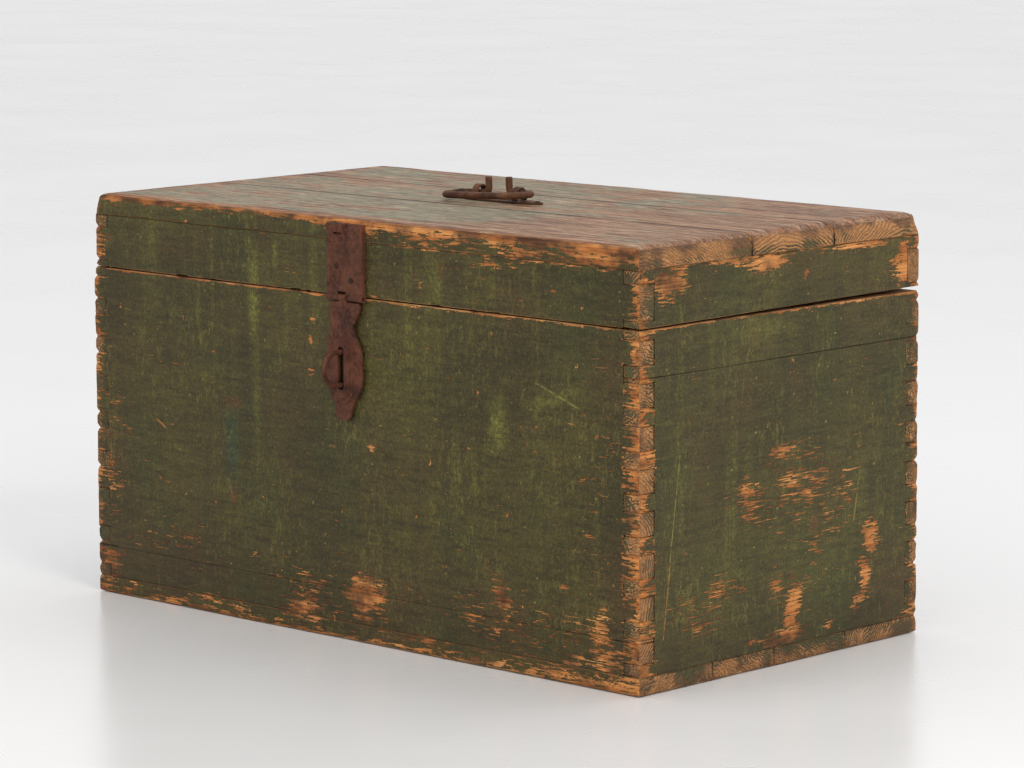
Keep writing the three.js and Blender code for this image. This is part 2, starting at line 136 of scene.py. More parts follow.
class Nodes:
    """Builds one node material. Numbers and sockets can be given to any input."""

    def __init__(self, name):
        self.material = bpy.data.materials.new(name)
        self.material.use_nodes = True
        self.tree = self.material.node_tree
        self.tree.nodes.clear()

    def node(self, kind, inputs=(), **settings):
        made = self.tree.nodes.new(kind)
        for key, value in settings.items():
            setattr(made, key, value)
        for key, value in dict(inputs).items():
            self.set(made.inputs[key], value)
        return made

    def set(self, socket, value):
        if isinstance(value, bpy.types.NodeSocket):
            self.tree.links.new(value, socket)
        elif socket.type == "RGBA":
            socket.default_value = (*value[:3], 1.0)
        else:
            socket.default_value = value

    def coords(self, scale=(1, 1, 1), shift=(0, 0, 0)):
        """The piece's own coordinates in metres, stretched: a small scale draws a pattern out along that axis."""
        own = self.node("ShaderNodeTexCoord").outputs["Object"]
        made = self.node("ShaderNodeMapping", {"Vector": own, "Scale": scale, "Location": shift})
        return made.outputs["Vector"]

    def noise(self, vector, scale, detail=4.0, roughness=0.55, distortion=0.0):
        made = self.node("ShaderNodeTexNoise", {"Vector": vector, "Scale": scale, "Detail": detail})
        self.set(made.inputs["Roughness"], roughness)
        self.set(made.inputs["Distortion"], distortion)
        return made.outputs["Fac"]

    def cells(self, vector, scale):
        return self.node("ShaderNodeTexVoronoi", {"Vector": vector, "Scale": scale}).outputs["Distance"]

    def attribute(self, name, output="Fac"):
        return self.node("ShaderNodeAttribute", attribute_name=name).outputs[output]

    def vector(self, operation, *values):
        made = self.node("ShaderNodeVectorMath", operation=operation)
        sockets = [made.inputs[0], made.inputs["Scale"] if operation == "SCALE" else made.inputs[1]]
        for socket, value in zip(sockets, values):
            self.set(socket, value)
        return made.outputs["Value"] if operation in ("LENGTH", "DOT_PRODUCT") else made.outputs["Vector"]

    def spots(self, scale, share, shift):
        """Small scattered flecks, in the given share of the cells of a grid of the scale."""
        size = 0.34
        place = self.coords(shift=shift)
        ragged = self.node("ShaderNodeTexNoise", {"Vector": place, "Scale": scale * 2.5, "Detail": 2.0})
        moved = self.vector("ADD", place, self.vector("SCALE", ragged.outputs["Color"], 1.6 / scale))
        cells = self.node("ShaderNodeTexVoronoi", {"Vector": moved, "Scale": scale})
        chance = self.node("ShaderNodeSeparateColor", {"Color": cells.outputs["Color"]}).outputs[0]
        reach = self.total((size / share, chance), size - size / share)
        return self.step(self.math("SUBTRACT", reach, cells.outputs["Distance"]), 0.0, 0.06)

    def line(self, start, end, width):
        """1 along the straight line between two points in metres, 0 beyond its width."""
        start, end = Vector(start), Vector(end)
        run = end - start
        local = self.vector("SUBTRACT", self.coords(), start)
        part = self.math("MULTIPLY", self.vector("DOT_PRODUCT", local, run), 1 / run.length_squared, clamp=True)
        aside = self.vector("SUBTRACT", local, self.vector("SCALE", tuple(run), part))
        return self.step(self.vector("LENGTH", aside), width, width * 0.5)

    def math(self, operation, a, b=0.0, clamp=False):
        made = self.node("ShaderNodeMath", operation=operation, use_clamp=clamp)
        self.set(made.inputs[0], a)
        self.set(made.inputs[1], b)
        return made.outputs[0]

    def times(self, a, b, clamp=False):
        return self.math("MULTIPLY", a, b, clamp)

    def total(self, *terms):
        """The sum of (weight, socket) pairs and plain numbers."""
        result = 0.0
        for term in terms:
            value = term if isinstance(term, (int, float)) else self.times(term[1], term[0])
            result = self.math("ADD", value, result)
        return result

    def ramp(self, fac, stops):
        """Stops are (place, number) or (place, (r, g, b))."""
        made = self.node("ShaderNodeValToRGB", {"Fac": fac})
        elements = made.color_ramp.elements
        while len(elements) < len(stops):
            elements.new(0.5)
        for element, (place, value) in zip(elements, stops):
            element.position = place
            element.color = (value,) * 3 + (1,) if isinstance(value, (int, float)) else (*value, 1)
        return made.outputs["Color"]

    def step(self, fac, low, high):
        """0 below low, 1 above high, smooth between."""
        falling = low > high
        ends = {"To Min": 1.0 * falling, "To Max": 1.0 - falling}
        places = {"From Min": min(low, high), "From Max": max(low, high)}
        made = self.node("ShaderNodeMapRange", {"Value": fac, **places, **ends})
        made.interpolation_type = "SMOOTHSTEP"
        return made.outputs["Result"]

    def mix(self, fac, a, b, blend="MIX"):
        made = self.node("ShaderNodeMix", data_type="RGBA", blend_type=blend, clamp_factor=True)
        self.set(made.inputs[0], fac)
        self.set(made.inputs[6], a)
        self.set(made.inputs[7], b)
        return made.outputs[2]

    def tinted(self, base, pattern, first, last, color):
        """The base colour with screen colour laid over it, as strongly as the two stops of the pattern say."""
        return self.mix(self.ramp(pattern, [first, last]), base, srgb(*color))

    def laid(self, base, amount, share, color):
        """The base colour with screen colour laid over it, as strongly as amount times share."""
        return self.mix(self.times(amount, share), base, srgb(*color))

    def shader(self, color, roughness, height=None, depth=0.001, metallic=0.0, specular=0.5):
        inputs = {"Base Color": color, "Roughness": roughness, "Metallic": metallic, "Specular IOR Level": specular}
        made = self.node("ShaderNodeBsdfPrincipled", inputs)
        if height is not None:
            bump = self.node("ShaderNodeBump", {"Height": height, "Distance": depth, "Strength": 1.0})
            self.set(made.inputs["Normal"], bump.outputs["Normal"])
        out = self.node("ShaderNodeOutputMaterial")
        self.tree.links.new(made.outputs[0], out.inputs["Surface"])


def srgb(red, green, blue):
    """A colour given as 0 to 255 screen values, as the shader wants it."""
    def linear(value):
        value /= 255
        return value / 12.92 if value <= 0.04045 else ((value + 0.055) / 1.055) ** 2.4
    return linear(red), linear(green), linear(blue)


def stretched(axis, along, across):
    """Scales that draw a pattern out along one axis."""
    return tuple(along if i == "xyz".index(axis) else across for i in range(3))


def grain_of(n, axis):
    """(broad bands, fine fibres): both run along the axis, as growth rings do in a sawn board."""
    bands = n.noise(n.coords(stretched(axis, 0.9, 14)), 9.0, 3, 0.6, 0.6)
    fibres = n.noise(n.coords(stretched(axis, 0.5, 30)), 26.0, 5, 0.65, 0.2)
    return bands, fibres


def bare_wood(n, bands, fibres, dirt):
    """The colour and height of bare pine, from fresh orange to old brown as dirt goes from 0 to 1."""
    fresh = n.ramp(bands, [(0.34, srgb(216, 152, 88)), (0.5, srgb(194, 124, 66)), (0.64, srgb(150, 90, 48))])
    fresh = n.tinted(fresh, fibres, (0.42, 0.0), (0.66, 0.65), (122, 72, 40))
    old = n.ramp(bands, [(0.34, srgb(128, 86, 54)), (0.64, srgb(82, 52, 34))])
    old = n.tinted(old, fibres, (0.42, 0.0), (0.62, 0.6), (52, 34, 24))
    return n.mix(dirt, fresh, old), n.total((0.55, bands), (0.45, fibres))


def green_paint(n, axis, tone_and_painted_light, fibres):
    """Old olive paint: broad stains, upright drips of yellow green, fine speckle and fleck, painted shade in the
    grooves, seams and cracks and a brown darkening towards the bottom of the walls, all times a tone that is partly
    painted light.
    """
    mottle = n.noise(n.coords(), 230.0, 4, 0.7)
    base = n.mix(n.ramp(n.noise(n.coords(), 6.5, 4), [(0.4, 0.0), (0.6, 1.0)]), srgb(64, 57, 33), srgb(80, 72, 39))
    base = n.tinted(base, n.noise(n.coords(shift=(3, 1, 2)), 11.0, 5, 0.6), (0.48, 0.0), (0.66, 0.6), (80, 61, 38))
    green = n.noise(n.coords((1.6, 1.6, 0.6), (8, 3, 1)), 12.0, 4)
    base = n.tinted(base, green, (0.5, 0.0), (0.68, 0.55), (64, 67, 36))
    drips = n.noise(n.coords((34, 34, 1.8)), 1.7, 4, 0.6, 0.3)
    patches = n.noise(n.coords(shift=(7, 2, 5)), 4.6, 2)
    wash = n.times(n.step(drips, 0.5, 0.68), n.step(patches, 0.45, 0.62))
    broken = n.step(mottle, 0.44, 0.6)
    base = n.laid(base, wash, n.total(0.06, (0.4, broken)), (122, 120, 56))
    dark_drips = n.noise(n.coords((26, 26, 2), (2, 9, 4)), 2.6, 4, 0.6)
    base = n.tinted(base, dark_drips, (0.48, 0.0), (0.7, 0.45), (56, 50, 34))
    amount = n.times(n.attribute("stain", "Alpha"), n.total(0.45, (0.75, broken)), clamp=True)
    base = n.mix(amount, base, n.attribute("stain", "Color"))
    streak = n.noise(n.coords(stretched(axis, 1.0, 6.0), (9, 1, 6)), 36.0, 5, 0.7)
    base = n.tinted(base, streak, (0.36, 0.5), (0.5, 0.0), (46, 42, 27))
    base = n.tinted(base, streak, (0.54, 0.0), (0.7, 0.3), (104, 98, 54))
    runs = n.noise(n.coords((1, 1, 0.42), (1, 5, 9)), 210.0, 5, 0.75, 0.6)
    places = n.noise(n.coords((1, 1, 0.5), (2, 6, 8)), 17.0, 3)
    strong, here = n.ramp(runs, [(0.53, 0.0), (0.66, 0.6)]), n.ramp(places, [(0.45, 0.0), (0.62, 0.9)])
    base = n.laid(base, strong, here, (124, 117, 58))
    base = n.tinted(base, runs, (0.34, 0.3), (0.46, 0.0), (50, 46, 29))
    speckle = n.noise(n.coords((1, 1, 0.7)), 520.0, 3, 0.75)
    base = n.tinted(base, speckle, (0.36, 0.6), (0.5, 0.0), (42, 38, 24))
    base = n.tinted(base, speckle, (0.56, 0.0), (0.74, 0.5), (128, 120, 72))
    base = n.tinted(base, fibres, (0.5, 0.0), (0.72, 0.35), (46, 40, 25))
    base = n.laid(base, n.spots(260.0, 0.06, (4, 4, 4)), 0.7, (142, 134, 70))
    # Painted shade in the grooves and cracks, and the darkening towards the bottom of the walls.
    base = n.laid(base, n.attribute("shade_and_darkening"), 0.85, (48, 36, 25))
    # The tone multiplies the whole paint. On the walls it is painted light, darker on the front and back and lighter on
    # the ends; on the floor edge it is a warmer tone.
    return n.mix(1.0, base, tone_and_painted_light, "MULTIPLY"), speckle


def worn_through(n, axis):
    """(gone, thin): where the paint is off, and where it is nearly off. Wear takes it from the edges in chips and
    in spikes along the grain, scuff leaves fine dashes."""
    spikes = n.noise(n.coords(stretched(axis, 1.0, 7.5)), 72.0, 3, 0.5, 0.25)
    chips = n.noise(n.coords(stretched(axis, 1.0, 2.2)), 62.0, 5, 0.62, 0.5)
    fine = n.noise(n.coords(stretched(axis, 1.0, 2.6)), 420.0, 3, 0.6)
    worn = n.total((1.0, n.attribute("wear")), (1.7, spikes), (1.0, chips), (0.85, fine), -1.84)
    dashes = n.noise(n.coords(stretched(axis, 1.0, 16.0), (3, 3, 3)), 64.0, 2, 0.5)
    broad = n.noise(n.coords(shift=(6, 6, 6)), 40.0, 3)
    scuffed = n.total((1.0, n.attribute("scuff")), (2.4, dashes), (1.0, broad), (0.6, fine), -2.14)
    gone = n.math("MAXIMUM", n.step(worn, 0.49, 0.515), n.step(scuffed, 0.49, 0.52))
    gone = n.math("MAXIMUM", gone, n.spots(170.0, 0.03, (1, 2, 3)))
    return gone, n.step(worn, 0.36, 0.5)


def painted_pine(name, axis, tone_and_painted_light=(1, 1, 1), scratches=()):
    """Green paint over pine, worn through as the attributes wear and scuff say."""
    n = Nodes(name)
    bands, fibres = grain_of(n, axis)
    gone, thin = worn_through(n, axis)
    dirt_noise = n.noise(n.coords(shift=(1, 4, 2)), 38.0, 4)
    dirt = n.total((1.0, n.attribute("dirt")), (2.2, dirt_noise), -1.08)
    wood, wood_height = bare_wood(n, bands, fibres, n.step(dirt, 0.0, 0.7))
    paint, speckle = green_paint(n, axis, tone_and_painted_light, fibres)
    for start, end, width, color in scratches:
        faint = n.times(n.line(start, end, width), n.step(n.noise(n.coords(), 160.0, 3), 0.36, 0.56))
        paint = n.mix(n.times(faint, 0.7), paint, color)
    paint = n.laid(paint, thin, 0.4, (104, 86, 50))
    height = n.mix(gone, n.total(0.62, (0.16, speckle), (0.2, fibres)), n.times(wood_height, 0.55))
    color = n.mix(gone, paint, wood)
    roughness = n.mix(gone, n.ramp(speckle, [(0.35, 0.42), (0.65, 0.58)]), (0.78, 0.78, 0.78))
    n.shader(color, roughness, height, 0.0016, specular=0.18)
    return n.material


def faded_top(name):
    """The lid's upper face: thin grey green paint dragged along the grain, with brown and pinkish wood between. The
    attribute wear says where the wood is bare."""
    n = Nodes(name)
    axis = "x"
    broad = n.noise(n.coords(stretched(axis, 1.0, 2.4)), 8.0, 4, 0.62, 0.8)
    streaks = n.noise(n.coords(stretched(axis, 1.0, 6.0)), 26.0, 6, 0.7, 0.5)
    bands, fibres = grain_of(n, axis)
    fine = n.noise(n.coords(stretched(axis, 1.0, 5.0)), 150.0, 4, 0.72)
    short = n.noise(n.coords(stretched(axis, 1.0, 9.0), (2, 7, 1)), 46.0, 5, 0.7, 0.3)
    wood = n.ramp(bands, [(0.34, srgb(190, 150, 114)), (0.5, srgb(156, 112, 80)), (0.66, srgb(108, 72, 50))])
    wood = n.tinted(wood, n.noise(n.coords((1, 4, 1)), 7.0, 3), (0.5, 0.0), (0.66, 0.5), (174, 126, 92))
    grey = n.mix(n.ramp(broad, [(0.4, 0.0), (0.6, 1.0)]), srgb(148, 148, 118), srgb(112, 120, 94))
    grey = n.tinted(grey, fine, (0.4, 0.0), (0.6, 0.7), (174, 164, 136))
    wear = n.attribute("wear")
    cover = n.total((1.1, streaks), (2.2, broad), (0.9, fine), (-1.1, wear), -1.48)
    color = n.mix(n.times(n.step(cover, 0.45, 0.56), 0.95), wood, grey)
    color = n.tinted(color, short, (0.36, 0.85), (0.49, 0.0), (88, 60, 42))
    color = n.tinted(color, short, (0.53, 0.0), (0.66, 0.75), (208, 180, 146))
    pale = n.step(n.noise(n.coords(stretched(axis, 1.0, 4.0), (4, 8, 2)), 15.0, 5, 0.7, 0.6), 0.57, 0.64)
    color = n.laid(color, pale, 0.6, (204, 174, 138))
    color = n.tinted(color, fibres, (0.46, 0.0), (0.62, 0.8), (88, 62, 46))
    dark = n.step(n.noise(n.coords(stretched(axis, 1.0, 16.0), (5, 5, 5)), 20.0, 4, 0.6, 0.3), 0.58, 0.66)
    color = n.laid(color, dark, 0.7, (60, 40, 30))
    fresh = n.step(n.total((1.0, wear), (1.2, streaks), (0.6, fine), -0.9), 0.5, 0.66)
    orange = n.ramp(bands, [(0.34, srgb(186, 126, 78)), (0.5, srgb(156, 98, 58)), (0.66, srgb(104, 64, 40))])
    orange = n.tinted(orange, fibres, (0.42, 0.0), (0.62, 0.8), (84, 50, 34))
    color = n.mix(n.times(fresh, 0.9), color, orange)
    # Painted shade in the seams between the top boards, in the cracks and in the grooves.
    color = n.laid(color, n.attribute("shade_and_darkening"), 0.95, (44, 30, 24))
    height = n.total((0.5, bands), (0.8, fibres), (0.25, fine), (0.5, short))
    n.shader(color, n.ramp(fine, [(0.3, 0.5), (0.7, 0.7)]), height, 0.0026, specular=0.35)
    return n.material


def end_grain(name, plane, heart, cover):
    """Sawn ends: arcs of growth rings around a heart outside the board, under what is left of the green paint. The
    attribute wear takes the paint off, cover adds to it."""
    n = Nodes(name)
    flat = {"yz": (0, 1, 1), "xz": (1, 0, 1)}[plane]
    place = n.coords(flat, tuple(-h * f for h, f in zip(heart, flat)))
    wander = n.noise(n.coords(), 38.0, 4, 0.6)
    radius = n.vector("LENGTH", n.vector("SCALE", place, n.total(0.93, (0.14, wander))))
    rings = n.math("SINE", n.times(radius, 2 * math.pi / RING_WIDTH))
    late = n.total(0.5, (0.5, rings))
    fibre = n.noise(n.coords(), 700.0, 3, 0.7)
    stain = n.noise(n.coords(shift=(2, 2, 2)), 34.0, 5, 0.6)
    wood = n.mix(n.ramp(late, [(0.3, 0.0), (0.9, 0.6)]), srgb(188, 134, 80), srgb(138, 92, 54))
    wood = n.tinted(wood, fibre, (0.42, 0.0), (0.66, 0.6), (84, 54, 34))
    dirty = n.step(n.total((1.0, n.attribute("dirt")), (2.4, stain), -1.15), 0.0, 0.7)
    wood = n.laid(wood, dirty, 0.85, (76, 52, 34))
    left = n.total((-1.0, n.attribute("wear")), (1.7, stain), (0.45, late), (0.5, fibre), cover - 0.82)
    painted = n.step(left, 0.48, 0.54)
    paint = n.mix(n.ramp(stain, [(0.4, 0.0), (0.62, 1.0)]), srgb(66, 62, 38), srgb(80, 78, 44))
    paint = n.tinted(paint, late, (0.55, 0.0), (0.95, 0.3), (100, 84, 48))
    color = n.mix(painted, wood, paint)
    # Painted shade in the grooves between boards, and the darkening towards the bottom of the walls.
    color = n.laid(color, n.attribute("shade_and_darkening"), 0.9, (40, 28, 20))
    height = n.total((0.7, late), (0.4, fibre), (0.4, painted))
    n.shader(color, 0.7, height, 0.0016, specular=0.35)
    return n.material


def inside_wood(name, axis):
    """Unpainted inner faces and edges: pale aged pine with brown stains."""
    n = Nodes(name)
    bands, fibres = grain_of(n, axis)
    color = n.ramp(bands, [(0.3, srgb(190, 152, 104)), (0.52, srgb(168, 124, 78)), (0.7, srgb(132, 88, 52))])
    color = n.tinted(color, fibres, (0.4, 0.0), (0.72, 0.5), (104, 68, 42))
    stain = n.noise(n.coords(shift=(5, 3, 1)), 7.0, 5)
    color = n.tinted(color, stain, (0.45, 0.0), (0.75, 0.6), (96, 70, 48))
    color = n.laid(color, n.attribute("dirt"), 0.5, (70, 48, 32))
    # Painted shade in the grooves between boards, and the darkening towards the bottom of the walls.
    color = n.laid(color, n.attribute("shade_and_darkening"), 0.9, (40, 28, 20))
    n.shader(color, 0.8, n.total((0.5, bands), (0.5, fibres)), 0.0009, specular=0.3)
    return n.material


def rusty_iron(name, light, dark, metallic, rubbed_and_highlight, pits=0.0010):
    """Iron under a skin of rust: mottled and pitted, with a brighter colour laid where the mottle is high and where the
    attribute wear says, partly rubbed rust and partly painted highlight.
    """
    n = Nodes(name)
    broad = n.noise(n.coords(), 60.0, 4, 0.6)
    mottle = n.noise(n.coords(shift=(1, 2, 3)), 260.0, 5, 0.7)
    grit = n.noise(n.coords(), 1100.0, 3, 0.7)
    color = n.mix(n.ramp(broad, [(0.35, 0.0), (0.65, 1.0)]), dark, light)
    color = n.mix(n.ramp(mottle, [(0.34, 0.85), (0.52, 0.0)]), color, tuple(c * 0.4 for c in dark))
    # Painted highlight, with rubbed rust: the brighter colour where the mottle is high.
    color = n.mix(n.ramp(mottle, [(0.58, 0.0), (0.8, 0.8)]), color, rubbed_and_highlight)
    color = n.mix(n.times(n.attribute("wear"), 0.55, clamp=True), color, rubbed_and_highlight)
    holes = n.cells(n.coords(), 380.0)
    height = n.total((0.7, mottle), (0.35, grit), (0.5, n.step(holes, 0.0, 0.35)))
    n.shader(color, n.ramp(mottle, [(0.3, 0.78), (0.7, 0.5)]), height, pits, metallic=metallic, specular=0.16)
    return n.material


# ---------------------------------------------------------------- noise and shaping, on arrays of points

def lattice(cell, seed):
    """A fixed random number from -1 to 1 for each whole-number cell."""
    cell = cell.astype(np.int64)
    h = cell[:, 0] * 374761393 + cell[:, 1] * 668265263 + cell[:, 2] * 2246822519 + seed * 3266489917
    h = (h ^ (h >> 13)) * 1274126177 & 0xFFFFFFFF
    h = (h ^ (h >> 16)) * 2654435761 & 0xFFFFFFFF
    return (h >> 8 & 0xFFFF) / 32767.5 - 1.0


def smooth_noise(points, size, seed, stretch=(1, 1, 1)):
    """Smooth noise from -1 to 1 whose features are about size across, in metres."""
    p = points / (size * np.array(stretch, float))
    base = np.floor(p)
    f = p - base
    f = f * f * (3 - 2 * f)
    total = np.zeros(len(p))
    for corner in range(8):
        offset = np.array([corner & 1, corner >> 1 & 1, corner >> 2 & 1])
        weight = np.prod(np.where(offset, f, 1 - f), axis=1)
        total += weight * lattice(base + offset, seed)
    return total


def fractal(points, size, seed, stretch=(1, 1, 1)):
    """Three layers of smooth noise, from -1 to 1. The seed picks the pattern."""
    return (smooth_noise(points, size, seed, stretch) + 0.5 * smooth_noise(points, size / 2.1, seed + 7, stretch)
            + 0.25 * smooth_noise(points, size / 4.3, seed + 13, stretch)) / 1.75


def link_piece(node, mesh, materials, sharp_angle, kinds=None):
    """Puts a finished mesh in the scene in the place of its CAD node. kinds gives each face its material."""
    for material in materials:
        mesh.materials.append(material)
    if kinds is not None:
        mesh.polygons.foreach_set("material_index", kinds.astype(np.int32))
    mesh.polygons.foreach_set("use_smooth", np.ones(len(mesh.polygons), bool))
    mesh.update()
    mesh.set_sharp_from_angle(angle=math.radians(sharp_angle))
    piece = bpy.data.objects.new(node + "_worn", mesh)
    bpy.context.scene.collection.objects.link(piece)
    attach(piece, BODY_OF[node])
    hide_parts(node)


def ramp_down(distance, reach):
    """1 at no distance, 0 from reach on."""
    t = np.clip(1 - distance / reach, 0, 1)
    return t * t * (3 - 2 * t)


def round_edges(points, low, high, pair, radius_at):
    """Rounds the edges of the box from low to high that run along the axis not in pair. radius_at(sides) gives the
    radius at each point for the signs of its two sides."""
    a, b = pair
    middle = (low + high) / 2
    half = (high - low) / 2
    local = points - middle
    sides = (local[:, a] > 0, local[:, b] > 0)
    radius = radius_at(points, *sides)
    da = np.abs(local[:, a]) - (half[a] - radius)
    db = np.abs(local[:, b]) - (half[b] - radius)
    length = np.hypot(da, db)
    pulled = (da > 0) & (db > 0) & (length > radius)
    scale = np.where(pulled, radius / np.maximum(length, 1e-9), 1.0)
    for axis, d in ((a, da), (b, db)):
        moved = np.sign(local[:, axis]) * (half[axis] - radius + d * scale)
        local[:, axis] = np.where(pulled, moved, local[:, axis])
    return local + middle


# ---------------------------------------------------------------- boards

AXES = {"x": 0, "y": 1, "z": 2}
OUTER, INNER, END, UPPER_EDGE, LOWER_EDGE = range(5)
FINGER_DEPTH = 0.0183     # how far the fingers of the corner joints reach in from the ends
FINGER_HEIGHT = 0.0182
EDGE_BREAK = 0.00045      # the usual rounding of a board's edges
ON_PLANE = 0.0001         # points closer than this to a plane lie on it
CRACK_HALF_WIDTH = 0.0008
STEP_SEEN, STEP_TOP, STEP_HIDDEN = 0.0034, 0.0042, 0.007    # grid steps of the sides


def grid_lines(fixed, step, near=(0.0007, 0.0019, 0.0042)):
    """Places along one axis: the fixed ones, close ones beside them to carry a round edge, and even steps between."""
    fixed = sorted(fixed)
    lines = set(fixed)
    for low, high in zip(fixed, fixed[1:]):
        usable = [d for d in near if d * 2.2 < high - low]
        lines.update(low + d for d in usable)
        lines.update(high - d for d in usable)
        inner_low = low + (usable[-1] if usable else 0)
        inner_high = high - (usable[-1] if usable else 0)
        count = max(1, math.ceil((inner_high - inner_low) / step))
        lines.update(inner_low + (inner_high - inner_low) * i / count for i in range(1, count))
    return np.array(sorted(lines))


def merged(values, tolerance=0.0002):
    kept = []
    for value in sorted(values):
        if not kept or value - kept[-1] > tolerance:
            kept.append(value)
    return kept


class Board:
    """A board of the CAD model as a grid of cells: u runs along the grain, v across it and w through it."""

    def __init__(self, node, along, across, through, outward, step, cracks=()):
        self.node, self.outward, self.cracks = node, outward, cracks
        self.on_lid, self.is_top, self.is_floor = BODY_OF[node] == "lid", "top_board" in node, "bottom_board" in node
        self.case = [np.array(corner) for corner in ((LID_LOW, LID_HIGH) if self.on_lid else (CASE_LOW, CASE_HIGH))]
        self.u, self.v, self.w = AXES[along], AXES[across], AXES[through]
        points = np.array([p.co for p in frame["nodes"][node].data.vertices])
        self.low, self.high = points.min(0), points.max(0)
        self.bottoms = self.slanting_bottoms(points)
        ends = (points[:, self.u] < self.low[self.u] + 0.025) | (points[:, self.u] > self.high[self.u] - 0.025)
        straight = self.high[self.v] - self.low[self.v]
        jointed = any(abs(p[self.u] - self.low[self.u] - FINGER_DEPTH) < 0.0003 for p in points)
        along_lines = [self.low[self.u], self.high[self.u]]
        across_lines = [self.low[self.v], self.high[self.v]]
        if jointed:
            along_lines += [self.low[self.u] + FINGER_DEPTH, self.high[self.u] - FINGER_DEPTH]
            across_lines += [p[self.v] for p in points[ends] if self.above_slant(p[self.v])]
        self.coarse_u, self.coarse_v = merged(along_lines), merged(across_lines)
        self.us = grid_lines(self.coarse_u, step)
        self.vs = grid_lines(self.coarse_v, min(step, straight / 6))
        for place, *_ in cracks:
            clear = self.vs[np.abs(self.vs - place) > CRACK_HALF_WIDTH + 0.0006]
            self.vs = np.array(merged([*clear, place - CRACK_HALF_WIDTH, place, place + CRACK_HALF_WIDTH]))
        self.ws = grid_lines([self.low[self.w], self.high[self.w]], 0.006)

    def slanting_bottoms(self, points):
        """(bottom at -Y, bottom at +Y) of a lid end rail, whose lower edge slants; None for any other board."""
        if self.node not in ("lid_left_rail", "lid_right_rail"):
            return None
        return tuple(points[np.abs(points[:, 1] - y) < 1e-4][:, 2].min() for y in (self.low[1], self.high[1]))

    def above_slant(self, value):
        return self.bottoms is None or value > max(self.bottoms) + 0.0005

    def filled_cells(self):
        """Which cells hold wood: a ray through the board's thickness hits the CAD solid there."""
        cad = frame["nodes"][self.node]
        tree = BVHTree.FromPolygons([v.co for v in cad.data.vertices], [p.vertices for p in cad.data.polygons])
        filled = np.zeros((len(self.us) - 1, len(self.vs) - 1), bool)
        for u0, u1 in zip(self.coarse_u, self.coarse_u[1:]):
            for v0, v1 in zip(self.coarse_v, self.coarse_v[1:]):
                start = Vector((0, 0, 0))
                start[self.u] = u0 + (u1 - u0) * 0.37
                start[self.v] = v0 + (v1 - v0) * 0.63
                start[self.w] = self.low[self.w] - 0.01
                ray = Vector((0, 0, 0))
                ray[self.w] = 1
                if tree.ray_cast(start, ray, 0.05)[0] is not None:
                    in_u = (self.us[:-1] >= u0 - 1e-6) & (self.us[1:] <= u1 + 1e-6)
                    in_v = (self.vs[:-1] >= v0 - 1e-6) & (self.vs[1:] <= v1 + 1e-6)
                    filled[np.ix_(in_u, in_v)] = True
        return filled

    def surface(self):
        """(points, quads, kinds). A quad's kind is OUTER, INNER, END, UPPER_EDGE or LOWER_EDGE."""
        filled = self.filled_cells()
        nv, nw = len(self.vs), len(self.ws)
        number = lambda i, j, k: (i * nv + j) * nw + k
        quads, kinds = [], []

        def add(corners, flip, kind):
            corners = np.stack(corners, axis=-1)
            quads.append(corners[:, ::-1] if flip else corners)
            kinds.append(np.full(len(corners), kind))

        right_handed = (self.u, self.v, self.w) in ((0, 1, 2), (1, 2, 0), (2, 0, 1))
        i, j = np.nonzero(filled)
        for k, top in ((0, False), (nw - 1, True)):
            outer = top == (self.outward > 0)
            corners = [number(i, j, k), number(i + 1, j, k), number(i + 1, j + 1, k), number(i, j + 1, k)]
            add(corners, top != right_handed, OUTER if outer else INNER)
        padded = np.pad(filled, 1)
        for di, dj in ((1, 0), (-1, 0), (0, 1), (0, -1)):
            open_side = filled & ~padded[1 + di:1 + di + filled.shape[0], 1 + dj:1 + dj + filled.shape[1]]
            i, j = np.nonzero(open_side)
            for k in range(nw - 1):
                if di:
                    at = i + (di > 0)
                    corners = [number(at, j, k), number(at, j + 1, k), number(at, j + 1, k + 1), number(at, j, k + 1)]
                    flip = (di > 0) != right_handed
                else:
                    at = j + (dj > 0)
                    corners = [number(i, at, k), number(i + 1, at, k), number(i + 1, at, k + 1), number(i, at, k + 1)]
                    flip = (dj > 0) == right_handed
                add(corners, flip, END if di else UPPER_EDGE if dj > 0 else LOWER_EDGE)
        quads, kinds = np.concatenate(quads), np.concatenate(kinds)
        used, index = np.unique(quads, return_inverse=True)
        lines = (self.us[used // (nv * nw)], self.vs[used // nw % nv], self.ws[used % nw])
        points = np.zeros((len(used), 3))
        for axis, values in zip((self.u, self.v, self.w), lines):
            points[:, axis] = values
        return points, index.reshape(quads.shape), kinds


def slant(board, points):
    """Slopes the lower edge of the lid's end rails."""
    if board.bottoms is None:
        return points
    turn = board.coarse_v[1]
    y = (points[:, 1] - board.low[1]) / (board.high[1] - board.low[1])
    bottom = board.bottoms[0] + (board.bottoms[1] - board.bottoms[0]) * y
    z = points[:, 2]
    points[:, 2] = np.where(z < turn, turn - (turn - z) * (turn - bottom) / (turn - board.low[2]), z)
    return points


def joint_shows(board, p):
    """How far the joint between a wall's two boards shows through the paint: in stretches, more so at the back."""
    if not board.node.endswith(("_upper", "_lower")):
        return np.ones(len(p))
    arris = np.maximum(CASE_HIGH.x - np.abs(p[:, 0]), CASE_HIGH.y - np.abs(p[:, 1]))
    along = fractal(p * (1, 1, 0), 0.09, 33)
    covered = (arris > 0.026) & (p[:, 2] > 0.020) & (p[:, 2] < CASE_HIGH.z - 0.006)
    return np.where(covered, np.clip(0.30 + 1.1 * along + 2.4 * p[:, 1], 0.06, 0.9), 1)


